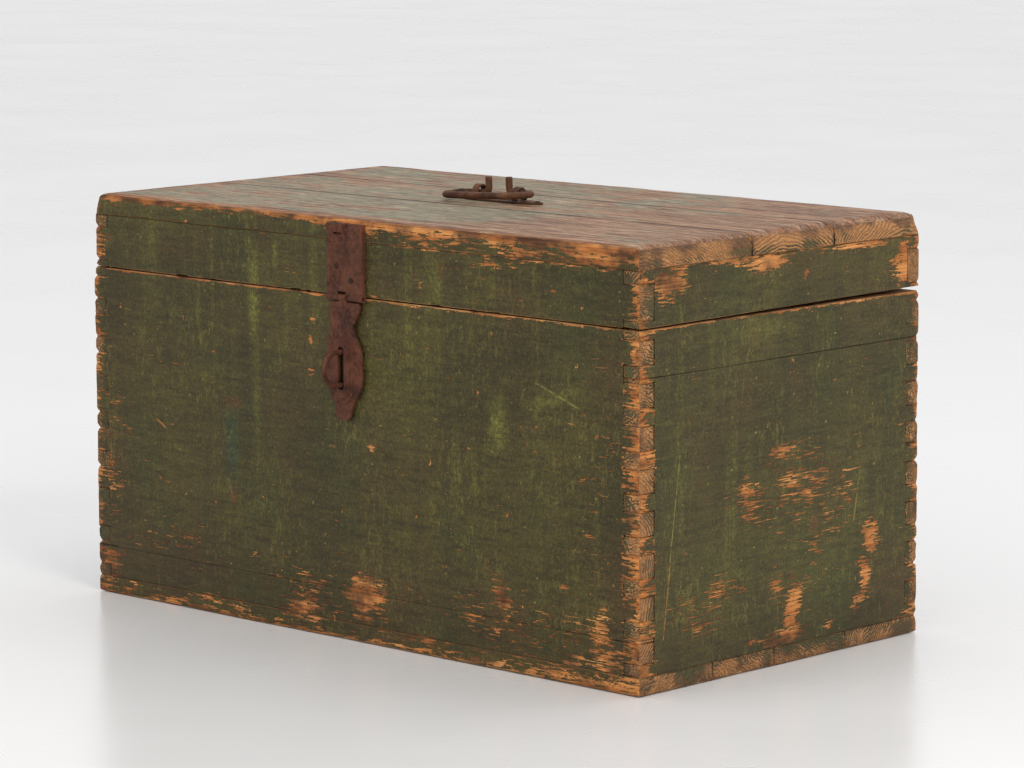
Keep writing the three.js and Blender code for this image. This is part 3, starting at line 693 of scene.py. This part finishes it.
def soften_board_edges(board, points, quads, kinds):
    """Breaks the sharp edges of the board, so that a fine groove shows where two boards meet, and sets each
    finger end a little proud or shy of its neighbours. Returns the points and which of them lie on an edge."""
    normals = np.zeros((len(points), 3))
    middle = (board.low[board.u] + board.high[board.u]) / 2
    shift = np.zeros_like(points)
    count = np.zeros(len(points), int)
    directions = {OUTER: (board.w, board.outward), INNER: (board.w, -board.outward),
                  UPPER_EDGE: (board.v, 1), LOWER_EDGE: (board.v, -1)}
    for kind in np.unique(kinds):
        corners = np.unique(quads[kinds == kind])
        count[corners] += 1
        if kind in directions:
            axis, sign = directions[kind]
            normals[corners, axis] += sign
            continue
        ends = np.sign(points[corners, board.u] - middle)
        normals[corners, board.u] += ends
        finger = smooth_noise(np.floor(points[corners] / FINGER_HEIGHT) * FINGER_HEIGHT, 0.0181, 47)
        shift[corners, board.u] = ends * 0.0006 * (finger - 0.7)
    edge = count > 1
    wide = 2 if board.is_top else 1
    cut = EDGE_BREAK * wide * (1 + 0.9 * fractal(points, 0.012, 31)) * np.where(edge, 1, 0)
    cut = cut * joint_shows(board, points)
    return points - normals * cut[:, None] + shift, edge


CASE_FINGERS = merged(vertex.co.z for node in ("right_end_lower", "right_end_upper")
                      for vertex in frame["nodes"][node].data.vertices)
LID_FINGERS = [0.3210, 0.3520]


def finger_lines(p):
    """Distance from the nearest height at which the fingers of a corner part, for the box or for the lid."""
    lines = np.array([*CASE_FINGERS, *LID_FINGERS])
    return np.min(np.abs(p[:, 2][:, None] - lines[None, :]), axis=1)


def finger_outline(p):
    """1 on the outlines of the fingers in the four corners, 0 away from them."""
    to_end = np.abs(CASE_HIGH.x - np.abs(p[:, 0]))
    to_side = np.abs(CASE_HIGH.y - np.abs(p[:, 1]))
    on_front = to_side < 0.002
    reach = np.where(on_front, to_end, to_side)
    gap = np.minimum(finger_lines(p), np.abs(reach - FINGER_DEPTH))
    return np.where((reach < FINGER_DEPTH + 0.002) & (p[:, 2] < FRAME_TOP), ramp_down(gap, 0.0034), 0)


def finger_notch(p):
    """How deep the corner is notched where two fingers part, different at each."""
    depth = np.clip(smooth_noise(np.round(p / 0.018) * 0.018, 0.0179, 29) + 0.35, 0, 1)
    return depth * ramp_down(finger_lines(p), 0.0036) * (p[:, 2] < FRAME_TOP)


def wear_of_case(p):
    """How far the paint of the box is gone, from the distances to its arrises, rim and lower edge."""
    side = np.minimum(CASE_HIGH.x - np.abs(p[:, 0]), 9)
    face = np.minimum(CASE_HIGH.y - np.abs(p[:, 1]), 9)
    arris = np.maximum(side, face)
    near = (p[:, 0] > 0) & (p[:, 1] < 0)
    reach = np.where(near, 0.029, 0.020) * (1 + 0.55 * fractal(p, 0.04, 3, (9, 9, 1)))
    patchy = 1 + 0.42 * fractal(p, 0.075, 6) + 0.30 * fractal(p, 0.022, 8)
    wear = np.where(near, 0.74, 0.64) * ramp_down(arris, reach) * patchy + 0.26 * finger_outline(p)
    wear = np.maximum(wear, 0.70 * ramp_down(CASE_HIGH.z - p[:, 2], 0.0042))
    lower = 0.021 + 0.014 * fractal(p, 0.09, 5)
    wear = np.maximum(wear, (0.68 + 0.16 * fractal(p, 0.05, 7)) * ramp_down(p[:, 2], lower))
    corner = np.hypot(arris / 0.075, p[:, 2] / 0.060)
    return np.maximum(wear, 0.70 * ramp_down(corner, 1.0))


def wear_of_lid(p):
    """The same for the lid's frame and for the edges of its top."""
    side = np.where(p[:, 0] > 0, LID_HIGH.x - p[:, 0], p[:, 0] - LID_LOW.x)
    face = LID_HIGH.y - np.abs(p[:, 1])
    arris = np.maximum(side, face)
    wear = 0.72 * ramp_down(arris, 0.022 * (1 + 0.4 * fractal(p, 0.05, 3, (9, 9, 1)))) + 0.24 * finger_outline(p)
    right_half = np.clip((p[:, 0] + 0.08) / 0.16, 0, 1)
    wear = np.maximum(wear, (0.18 + 0.34 * right_half) * ramp_down(np.abs(p[:, 2] - FRAME_TOP), 0.0045))
    wear = np.maximum(wear, 0.30 * ramp_down(p[:, 2] - LID_LOW.z, 0.003))
    rim = 0.010 + 0.004 * fractal(p, 0.12, 9) + 0.006 * right_half
    return np.maximum(wear, 0.95 * ramp_down(LID_HIGH.z - p[:, 2], rim * 1.25))


# Scraped places on each face: centre across and up, half sizes, tilt in degrees, strength. Millimetres.
SCRAPES = {
    "front": [
        (-66, 20, 38, 15, 0, 0.84), (18, 42, 36, 29, 0, 0.88), (188, 66, 15, 24, 20, 0.86),
        (-332, 24, 24, 34, 0, 0.70), (-329, 116, 13, 34, 10, 0.62), (28, 178, 6, 6, 0, 0.72),
        (-50, 268, 4, 9, 0, 0.70), (-51, 242, 8, 6, 0, 0.72), (-47, 290, 7, 6, 0, 0.66),
        (251, 340, 4, 12, 25, 0.74), (306, 54, 20, 30, -20, 0.70), (318, 24, 44, 22, 0, 0.66),
        (20, 374, 54, 10, 0, 0.60), (95, 372, 64, 14, 0, 0.62), (215, 371, 94, 13, 0, 0.64),
        (302, 373, 70, 15, 0, 0.90), (180, 358, 50, 8, 0, 0.56), (30, 316, 9, 6, 0, 0.66),
        (-340, 344, 10, 22, 0, 0.34), (-286, 151, 9, 3, -25, 0.56), (-180, 14, 60, 8, 0, 0.60),
        (80, 14, 80, 8, 0, 0.62), (120, 84, 7, 5, 0, 0.66), (232, 120, 6, 4, 0, 0.66), (-128, 64, 5, 4, 0, 0.66),
        (262, 84, 8, 6, 10, 0.66), (-300, 160, 6, 10, 0, 0.56), (90, 330, 5, 16, 8, 0.56)],
    "right": [
        (0, 190, 34, 9, 5, 0.74), (-50, 160, 24, 16, 6, 0.60), (121, 98, 18, 26, 4, 0.82),
        (104, 42, 24, 11, 30, 0.72), (112, 64, 12, 22, 10, 0.82), (12, 48, 18, 42, -14, 0.82),
        (2, 24, 44, 14, 4, 0.82), (-10, 72, 14, 13, 4, 0.70), (168, 340, 28, 27, 0, 0.98),
        (100, 362, 92, 7, 0, 0.74), (-23, 357, 40, 11, 2, 1.00), (28, 343, 7, 7, 0, 0.82),
        (-150, 350, 32, 20, 0, 0.98), (-60, 362, 82, 6, 0, 0.72), (60, 26, 14, 9, 10, 0.66),
        (-40, 26, 18, 6, 4, 0.64), (-120, 268, 5, 12, 0, 0.60), (70, 244, 4, 6, 0, 0.62)],
    "left": [
        (-60, 60, 40, 18, 4, 0.62), (110, 40, 30, 20, 0, 0.62), (-110, 210, 20, 10, 0, 0.56),
        (30, 352, 50, 10, 0, 0.6)],
    "back": [
        (-120, 40, 60, 16, 2, 0.58), (250, 30, 60, 14, 0, 0.58), (40, 220, 40, 10, 0, 0.52),
        (-225, 300, 50, 8, 0, 0.36)],
}
# Scuffed places, where only fine dashes of wood show, in the same form.
SCUFFS = {
    "right": [
        (20, 152, 78, 48, 6, 0.52), (10, 186, 60, 14, 6, 0.50), (-48, 150, 30, 30, 6, 0.62),
        (90, 146, 30, 30, 6, 0.46), (-96, 72, 70, 20, 6, 0.52), (-112, 52, 34, 14, 6, 0.54),
        (60, 110, 60, 30, 6, 0.36), (30, 66, 70, 26, 6, 0.40)],
    "front": [
        (-230, 60, 110, 26, 0, 0.30), (200, 40, 150, 34, 0, 0.46), (-60, 40, 70, 30, 0, 0.42),
        (250, 20, 90, 16, 0, 0.50), (306, 200, 26, 130, 0, 0.34), (-320, 150, 20, 120, 0, 0.36)],
    "left": [
        (70, 170, 80, 30, 3, 0.40), (-20, 280, 90, 20, 3, 0.30)],
    "back": [
        (160, 120, 90, 30, 2, 0.36), (-200, 200, 70, 24, 2, 0.34)],
}
# Stains in the paint, in the same form but for the colour that follows the strength.
LIME, TEAL, RED, BROWN, SOOT = (128, 126, 58), (50, 76, 62), (120, 64, 42), (82, 57, 40), (40, 37, 31)
STAINS = {
    "front": [
        (-125, 308, 8, 50, 0, 0.85, LIME), (-122, 220, 5, 90, 0, 0.40, LIME), (-96, 344, 5, 18, 0, 0.6, LIME),
        (184, 216, 14, 30, 0, 0.75, LIME), (250, 246, 36, 7, 18, 0.5, LIME), (112, 334, 8, 26, 0, 0.5, LIME),
        (70, 250, 60, 60, 0, 0.22, LIME), (-157, 162, 11, 42, 0, 0.7, TEAL), (-157, 202, 15, 7, 0, 0.7, RED),
        (-156, 116, 6, 10, 0, 0.8, RED), (-84, 150, 7, 40, 0, 0.45, BROWN), (-111, 60, 26, 46, 0, 0.5, BROWN),
        (-250, 40, 110, 34, 0, 0.5, BROWN), (330, 60, 34, 66, 0, 0.6, BROWN), (-335, 40, 24, 50, 0, 0.6, BROWN),
        (-232, 262, 28, 40, 0, 0.30, SOOT), (166, 262, 22, 34, 0, 0.26, SOOT), (-20, 100, 56, 14, 0, 0.30, SOOT),
        (-327, 342, 5, 5, 0, 0.7, RED), (116, 347, 4, 10, 0, 0.6, RED), (120, 60, 160, 34, 0, 0.35, BROWN),
        (45, 330, 16, 26, 0, 0.45, BROWN)],
    "right": [
        (40, 119, 8, 13, 0, 0.75, RED), (-70, 250, 60, 50, 0, 0.25, BROWN), (60, 80, 60, 60, 0, 0.30, (74, 84, 44)),
        (-100, 40, 50, 30, 0, 0.3, BROWN), (-30, 300, 50, 12, 0, 0.25, LIME), (150, 40, 40, 50, 0, 0.4, BROWN)],
    "left": [
        (40, 200, 60, 80, 0, 0.3, BROWN), (-80, 120, 40, 60, 0, 0.3, LIME)],
    "back": [
        (60, 180, 90, 60, 0, 0.3, BROWN), (-160, 100, 60, 80, 0, 0.3, LIME), (-225, 262, 40, 26, 0, 0.5, RED),
        (225, 262, 40, 26, 0, 0.5, RED)],
}
# For each face, the axis it looks along, its direction and the axis across it.
FACE_AXES = {"front": (1, -1, 0), "back": (1, 1, 0), "right": (0, 1, 1), "left": (0, -1, 1)}
FACE_DEPTH = 0.012
BLOT_FADE = 1.4      # how far past its half size a blot still shows


def on_face(p, face):
    """(mask, place across, height) of the points on one side of the footlocker, in millimetres."""
    axis, sign, across = FACE_AXES[face]
    limit = CASE_HIGH[axis] - FACE_DEPTH
    return p[:, axis] * sign > limit, p[:, across] / MM, p[:, 2] / MM


def blots(p, listed):
    """(strength, entry) for each listed place: how strongly it marks each point."""
    for face, entries in listed.items():
        mask, u, v = on_face(p, face)
        for entry in entries:
            middle_u, middle_v, half_u, half_v, tilt, strength = entry[:6]
            cos, sin = math.cos(math.radians(tilt)), math.sin(math.radians(tilt))
            du, dv = u - middle_u, v - middle_v
            away = np.hypot((du * cos + dv * sin) / half_u, (dv * cos - du * sin) / half_v)
            yield np.where(mask, strength * ramp_down(away, BLOT_FADE), 0), entry


def marked(p, listed):
    return np.max([strength for strength, _ in blots(p, listed)], axis=0)


def stained(p):
    """Colour and strength of the stains, as four numbers for each point."""
    color = np.zeros((len(p), 4))
    color[:, :3] = srgb(*BROWN)
    for strength, entry in blots(p, STAINS):
        share = (strength / np.maximum(strength + color[:, 3], 1e-6))[:, None]
        color[:, :3] = color[:, :3] * (1 - share) + np.array(srgb(*entry[6])) * share
        color[:, 3] = np.maximum(color[:, 3], strength)
    return color


def case_radius(points, *_):
    """The rounding of the box's upright arrises."""
    return 0.0034 + 0.0018 * fractal(points, 0.03, 21) + 0.0065 * finger_notch(points)


def case_foot_radius(points, _, is_top):
    return np.where(is_top, 0.0010, 0.0036 + 0.0016 * fractal(points, 0.05, 22))


def lid_corner_radius(points, is_right, is_back):
    top = ramp_down(LID_HIGH.z - points[:, 2], 0.024) * np.where(is_right & is_back, 0.014, 0.008)
    return 0.0036 + 0.0016 * fractal(points, 0.03, 23) + top + 0.0065 * finger_notch(points)


def lid_end_radius(points, is_right, is_top):
    toward_back = np.clip(points[:, 1] / 0.18, -0.4, 1)
    top = np.where(is_right, 0.0135 + 0.0045 * toward_back, 0.0170) * (1 + 0.20 * fractal(points, 0.045, 24))
    return np.where(is_top, top, 0.0006)


def lid_side_radius(points, is_back, is_top):
    top = np.where(is_back, 0.0110, 0.0056) * (1 + 0.28 * fractal(points, 0.06, 25))
    return np.where(is_top, top, 0.0006)


CASE_RADII = case_radius, case_foot_radius, case_foot_radius
LID_RADII = lid_corner_radius, lid_end_radius, lid_side_radius


def weather(board, points, rest):
    """Rounds the outside, dents and chips it, and opens the listed cracks."""
    low, high = board.case
    for pair, radius_at in zip(((0, 1), (0, 2), (1, 2)), LID_RADII if board.on_lid else CASE_RADII):
        points = round_edges(points, low, high, pair, radius_at)
    middle = (low + high) / 2
    half = (high - low) / 2
    depth = half - np.abs(rest - middle)
    outward = np.where(depth < ON_PLANE, np.sign(rest - middle), 0)
    ordered = np.sort(depth, axis=1)
    to_arris = ordered[:, 1]
    on_outside = ordered[:, 0] < ON_PLANE
    waves = 0.00022 * fractal(points, 0.07, 41) + 0.00010 * fractal(points, 0.011, 42)
    chip = np.clip(fractal(points, 0.014, 43) - 0.16, 0, 1) * ramp_down(to_arris, 0.009)
    sliver = np.clip(fractal(points, 0.02, 44, (1, 1, 0.25)) - 0.25, 0, 1) * ramp_down(to_arris, 0.014)
    inward = np.where(on_outside, 0.0030 * chip + 0.0018 * sliver - waves, 0)
    inward = np.where(points[:, 2] < 0.0008, np.minimum(inward, 0), inward)
    points = points - outward * np.maximum(inward, -0.0003)[:, None]
    return open_cracks(board, points, rest)


def mouth_of(board, crack, rest):
    """(fade, mouth): how far the points lie within the crack's length, and which lie on its line on the surface."""
    place, start, end, _ = crack
    u = rest[:, board.u]
    face = board.low[board.w] if board.outward < 0 else board.high[board.w]
    mouth = (np.abs(rest[:, board.v] - place) < 2 * ON_PLANE) & (np.abs(rest[:, board.w] - face) < ON_PLANE)
    return ramp_down(np.maximum(start - u, u - end), 0.03), mouth


def open_cracks(board, points, rest):
    """Each crack is a fine groove that wanders along the grain and fades at its ends."""
    for crack in board.cracks:
        place, _, _, deep = crack
        inside, groove = mouth_of(board, crack, rest)
        u = rest[:, board.u]
        line = np.stack([u, np.full(len(u), place), np.zeros(len(u))], axis=1)
        wander = 0.0035 * smooth_noise(line, 0.10, 61) + 0.0010 * smooth_noise(line, 0.018, 62)
        near = ramp_down(np.abs(rest[:, board.v] - place), 0.016)
        points[:, board.v] += wander * near
        ragged = 0.6 + 0.4 * smooth_noise(line, 0.011, 63)
        points[:, board.w] -= np.where(groove, board.outward * deep * inside * ragged, 0)
    return points


def shade_and_darkening_of(board, rest, edge):
    """Painted shade in the cracks, in the seams of the top and in the grooves between boards, and a darkening towards
    the bottom of the walls.
    """
    low, high = board.case
    # Darker towards the bottom of the walls, less on the floor boards, not on the lid.
    foot = 0.0 if board.on_lid else 0.15 if board.is_floor else 0.5
    shade_and_darkening = foot * ramp_down(rest[:, 2], 0.075) * (0.8 + 0.5 * fractal(rest, 0.06, 51))
    to_arris = np.sort(np.minimum(rest - low, high - rest), axis=1)[:, 1]
    # Painted shade along the grooves where two boards meet, less where the paint covers a wall's joint.
    groove = np.where(edge & (to_arris > 0.0012), 0.8 + 0.4 * fractal(rest, 0.03, 52), 0)
    shade_and_darkening = np.maximum(shade_and_darkening, groove * joint_shows(board, rest))
    if board.is_top:
        # Painted shade along the seams between the top boards.
        seam = np.minimum(np.abs(rest[:, 1] - TOP_JOINTS[0]), np.abs(rest[:, 1] - TOP_JOINTS[1]))
        shade_and_darkening = np.maximum(shade_and_darkening, (0.85 + 0.7 * fractal(rest, 0.05, 54)) * ramp_down(seam, 0.0034))
    # Painted shade in the mouths of the cracks.
    for crack in board.cracks:
        inside, at_mouth = mouth_of(board, crack, rest)
        shade_and_darkening = np.maximum(shade_and_darkening, inside * at_mouth * 1.3)
    return np.clip(shade_and_darkening, 0, 1.3)


def build_board(board, materials):
    """Makes the board's mesh, weathers it, and writes wear, dirt, and painted shade with a darkening towards the bottom
    on its points for the materials.
    """
    rest, quads, kinds = board.surface()
    points = slant(board, rest.copy())
    settled = points.copy()
    points, edge = soften_board_edges(board, points, quads, kinds)
    points = weather(board, points, settled)
    wear = np.maximum(wear_of_lid(settled) if board.on_lid else wear_of_case(settled), marked(settled, SCRAPES))
    if board.is_top:
        wear = np.where(settled[:, 2] > LID_HIGH.z - 2 * ON_PLANE, rim_wear(settled), wear)
    soiled = 0.15 if board.is_floor else 0.5
    dirt = 0.15 + 0.35 * fractal(settled, 0.04, 53) + soiled * ramp_down(settled[:, 2], 0.05)
    dirt += 0.30 * ramp_down(LID_HIGH.z - settled[:, 2], 0.010)
    mesh = bpy.data.meshes.new(board.node + "_worn")
    mesh.from_pydata(points, [], quads.tolist())
    shade_and_darkening = shade_and_darkening_of(board, settled, edge)
    for name, values in (("wear", wear), ("scuff", marked(settled, SCUFFS)), ("dirt", dirt), ("shade_and_darkening", shade_and_darkening)):
        mesh.attributes.new(name, "FLOAT", "POINT").data.foreach_set("value", values.astype(np.float32))
    stain = mesh.attributes.new("stain", "FLOAT_COLOR", "POINT")
    stain.data.foreach_set("color", stained(settled).astype(np.float32).ravel())
    link_piece(board.node, mesh, materials, sharp_angle=42, kinds=kinds)


def rim_wear(p):
    """On the lid's flat top: bare along the front and the ends, and more so towards the right."""
    to_end = np.minimum(LID_HIGH.x - p[:, 0], p[:, 0] - LID_LOW.x)
    to_side = np.minimum(LID_HIGH.y - p[:, 1], p[:, 1] - LID_LOW.y)
    wear = 0.62 * ramp_down(to_side, 0.026 + 0.014 * fractal(p, 0.10, 71))
    wear = np.maximum(wear, 0.55 * ramp_down(to_end, 0.060 + 0.035 * fractal(p, 0.05, 72)))
    return np.maximum(wear, 0.44 * np.clip((p[:, 0] - 0.02) / 0.30, 0, 1) + 0.1 * fractal(p, 0.08, 73))


def rims(node, bare, paint):
    """Materials of a board's upper and lower edges: bare wood where the lid opens, paint in the joints."""
    return bare if node.endswith("_upper") else paint, bare if node.startswith("lid_") else paint


def build_boards():
    """All the boards. A board's materials are for its outer face, inner face, ends, upper edge and lower edge."""
    lime, pale, wood = srgb(124, 120, 60), srgb(132, 122, 70), srgb(170, 112, 58)
    # Painted light: the front, back and end paints are lit and shaded copies of one paint, made by the tone multiplied
    # in. The front is darker, the back a little darker and the ends lighter, with small shifts of hue besides.
    shaded_front_paint = painted_pine("olive_paint_front_shaded", "x", (0.94, 0.94, 0.86), [
        ((0.230, -0.188, 0.258), (0.282, -0.188, 0.240), 0.0012, lime),
        ((-0.262, -0.188, 0.176), (-0.248, -0.188, 0.168), 0.0012, wood),
    ])
    shaded_back_paint = painted_pine("olive_paint_back_shaded", "x", (0.97, 0.97, 0.97))
    lit_end_paint = painted_pine("olive_paint_ends_lit", "y", (1.04, 1.08, 1.04), [
        ((0.350, -0.137, 0.202), (0.350, -0.150, 0.110), 0.0009, pale),
        ((0.350, -0.149, 0.112), (0.350, -0.158, 0.046), 0.0008, wood),
        ((0.350, 0.096, 0.116), (0.350, 0.104, 0.160), 0.0012, lime),
    ])
    inside_x, inside_y = inside_wood("inner_pine_x", "x"), inside_wood("inner_pine_y", "y")
    ends_x = end_grain("end_grain_of_long_boards", "yz", (0, -0.262, 0.10), 0.34)
    ends_y = end_grain("end_grain_of_end_boards", "xz", (0.25, 0, 0.42), 0.58)
    foot = painted_pine("worn_floor_edge", "x", (1.02, 0.96, 0.86))
    for side, outward in (("front", -1), ("back", 1)):
        paint = shaded_front_paint if side == "front" else shaded_back_paint
        step = STEP_SEEN if side == "front" else STEP_HIDDEN
        for node in (f"{side}_wall_upper", f"{side}_wall_lower", f"lid_{side}_rail"):
            edges = rims(node, inside_x, paint)
            build_board(Board(node, "x", "z", "y", outward, step), [paint, inside_x, ends_x, *edges])
    for side, outward in (("right", 1), ("left", -1)):
        step = STEP_SEEN if side == "right" else STEP_HIDDEN
        for node in (f"{side}_end_upper", f"{side}_end_lower", f"lid_{side}_rail"):
            edges = rims(node, inside_y, lit_end_paint)
            build_board(Board(node, "y", "z", "x", outward, step), [lit_end_paint, inside_y, ends_y, *edges])
    under = inside_wood("underside_pine", "x")
    hearts = {1: (0, -0.30, 0.17), 2: (0, -0.17, -0.12), 3: (0, 0.15, 0.16), 4: (0, 0.27, -0.10)}
    for number, heart in hearts.items():
        ends = end_grain(f"end_grain_of_floor_{number}", "yz", heart, 0.40)
        board = Board(f"bottom_board_{number}", "x", "y", "z", -1, STEP_HIDDEN)
        build_board(board, [under, inside_x, ends, foot, foot])
    top = faded_top("faded_top_paint")
    # For each top board, the heart of its growth rings, the paint left on its ends, and its cracks: place across,
    # start and end along, depth.
    tops = {
        "front": ((0, -0.20, 0.27), 0.04, [
            (-0.178, -0.33, -0.02, 0.0020), (-0.163, 0.02, 0.345, 0.0014), (-0.110, -0.30, -0.06, 0.0012),
            (-0.092, 0.02, 0.30, 0.0012), (-0.062, 0.12, 0.36, 0.0010)]),
        "middle": ((0, 0.0, 0.30), 0.26, [
            (-0.026, -0.34, -0.13, 0.0012), (0.040, 0.10, 0.36, 0.0012), (0.008, 0.16, 0.34, 0.0010)]),
        "back": ((0, 0.17, 0.29), 0.10, [
            (0.120, -0.36, -0.02, 0.0012), (0.098, -0.05, 0.30, 0.0014), (0.150, 0.00, 0.36, 0.0010)]),
    }
    for name, (heart, cover, cracks) in tops.items():
        ends = end_grain(f"end_grain_of_top_{name}", "yz", heart, cover)
        edge = shaded_front_paint if name == "front" else shaded_back_paint
        board = Board(f"top_board_{name}", "x", "y", "z", 1, STEP_TOP, cracks)
        build_board(board, [top, inside_x, ends, edge, edge])


# ---------------------------------------------------------------- iron

SLOT_HALF_WIDTH, SLOT_BRIM, SLOT_DEPTH = 0.00040, 0.00055, 0.0007    # of the screws' slots


def refine(node, material, bevel, step, dent, seed, slotted):
    """Copies an iron piece from the frame with broken edges and a hammered, rust-eaten surface. A slotted screw
    head gets its slot, turned at random."""
    bm = bmesh.new()
    bm.from_mesh(frame["nodes"][node].data)
    bmesh.ops.remove_doubles(bm, verts=bm.verts, dist=1e-5)
    bmesh.ops.dissolve_limit(bm, angle_limit=math.radians(2), verts=bm.verts, edges=bm.edges)
    sharp = [e for e in bm.edges if e.is_manifold and e.calc_face_angle(0) > math.radians(30)]
    bmesh.ops.bevel(bm, geom=sharp, offset=bevel, segments=2, profile=0.6, affect="EDGES", clamp_overlap=True)
    bmesh.ops.triangulate(bm, faces=bm.faces)
    low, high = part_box(node)
    planes = []
    for axis in range(3):
        normal = Vector((axis == 0, axis == 1, axis == 2))
        count = math.ceil((high[axis] - low[axis]) / step)
        planes += [(normal, low[axis] + (high[axis] - low[axis]) * i / count) for i in range(1, count)]
    middle = (low + high) / 2
    turn = 0.7 * seed
    across = Vector((math.cos(turn), 0, math.sin(turn)))
    if slotted:
        sides = (-SLOT_BRIM, -SLOT_HALF_WIDTH, SLOT_HALF_WIDTH, SLOT_BRIM)
        planes += [(across, middle.dot(across) + side) for side in sides]
    for normal, place in planes:
        geometry = list(bm.verts) + list(bm.edges) + list(bm.faces)
        bmesh.ops.bisect_plane(bm, geom=geometry, dist=1e-6, plane_co=normal * place, plane_no=normal)
    if slotted:
        for vertex in bm.verts:
            in_slot = abs((vertex.co - middle).dot(across)) < SLOT_HALF_WIDTH + ON_PLANE / 2
            if in_slot and vertex.co.y > high.y - 2 * SLOT_DEPTH:
                vertex.co.y -= SLOT_DEPTH
    mesh = bpy.data.meshes.new(node + "_worn")
    bm.to_mesh(mesh)
    bm.free()
    finish_iron(mesh, node, material, dent, seed)


def finish_iron(mesh, node, material, dent, seed):
    """Dents the mesh of an iron piece and writes, in random patches, where its brighter rubbed colour goes, which is
    partly painted highlight.
    """
    count = len(mesh.vertices)
    points, normals = np.zeros(count * 3), np.zeros(count * 3)
    mesh.vertices.foreach_get("co", points)
    mesh.vertices.foreach_get("normal", normals)
    points, normals = points.reshape(-1, 3), normals.reshape(-1, 3)
    bumps = fractal(points, 0.006, seed + 80) + 0.6 * fractal(points, 0.002, seed + 90)
    points = points + normals * (dent * bumps)[:, None]
    mesh.vertices.foreach_set("co", points.reshape(-1).astype(np.float32))
    wear = np.clip(0.4 + 0.8 * fractal(points, 0.012, seed + 95), 0, 1)
    mesh.attributes.new("wear", "FLOAT", "POINT").data.foreach_set("value", wear.astype(np.float32))
    link_piece(node, mesh, [material], sharp_angle=35)


def build_iron():
    # The last colour of each rust is its rubbed colour, partly rubbed rust and partly painted highlight.
    rust = rusty_iron("red_rust", srgb(88, 50, 36), srgb(52, 31, 24), 0.0, srgb(124, 76, 54))
    dark = rusty_iron("dark_rust", srgb(74, 45, 34), srgb(36, 25, 21), 0.1, srgb(136, 92, 62))
    nail = rusty_iron("nail_rust", srgb(52, 36, 30), srgb(26, 20, 18), 0.1, srgb(92, 64, 48), 0.0006)
    iron = [node for node in sorted(frame["nodes"]) if SLOT_OF[node] in ("rusty_iron", "dark_iron", "nails_and_pins")]
    for i, node in enumerate(iron):
        small = SLOT_OF[node] == "nails_and_pins"
        material = {"rusty_iron": rust, "dark_iron": dark}.get(SLOT_OF[node], nail)
        refine(node, material, bevel=0.0003 if small else 0.0006, step=0.004 if small else 0.0026,
               dent=0.00006 if small else 0.00018, seed=i + 1, slotted="screw" in node)


add_camera()
add_lights()
add_floor()
build_boards()
build_iron()
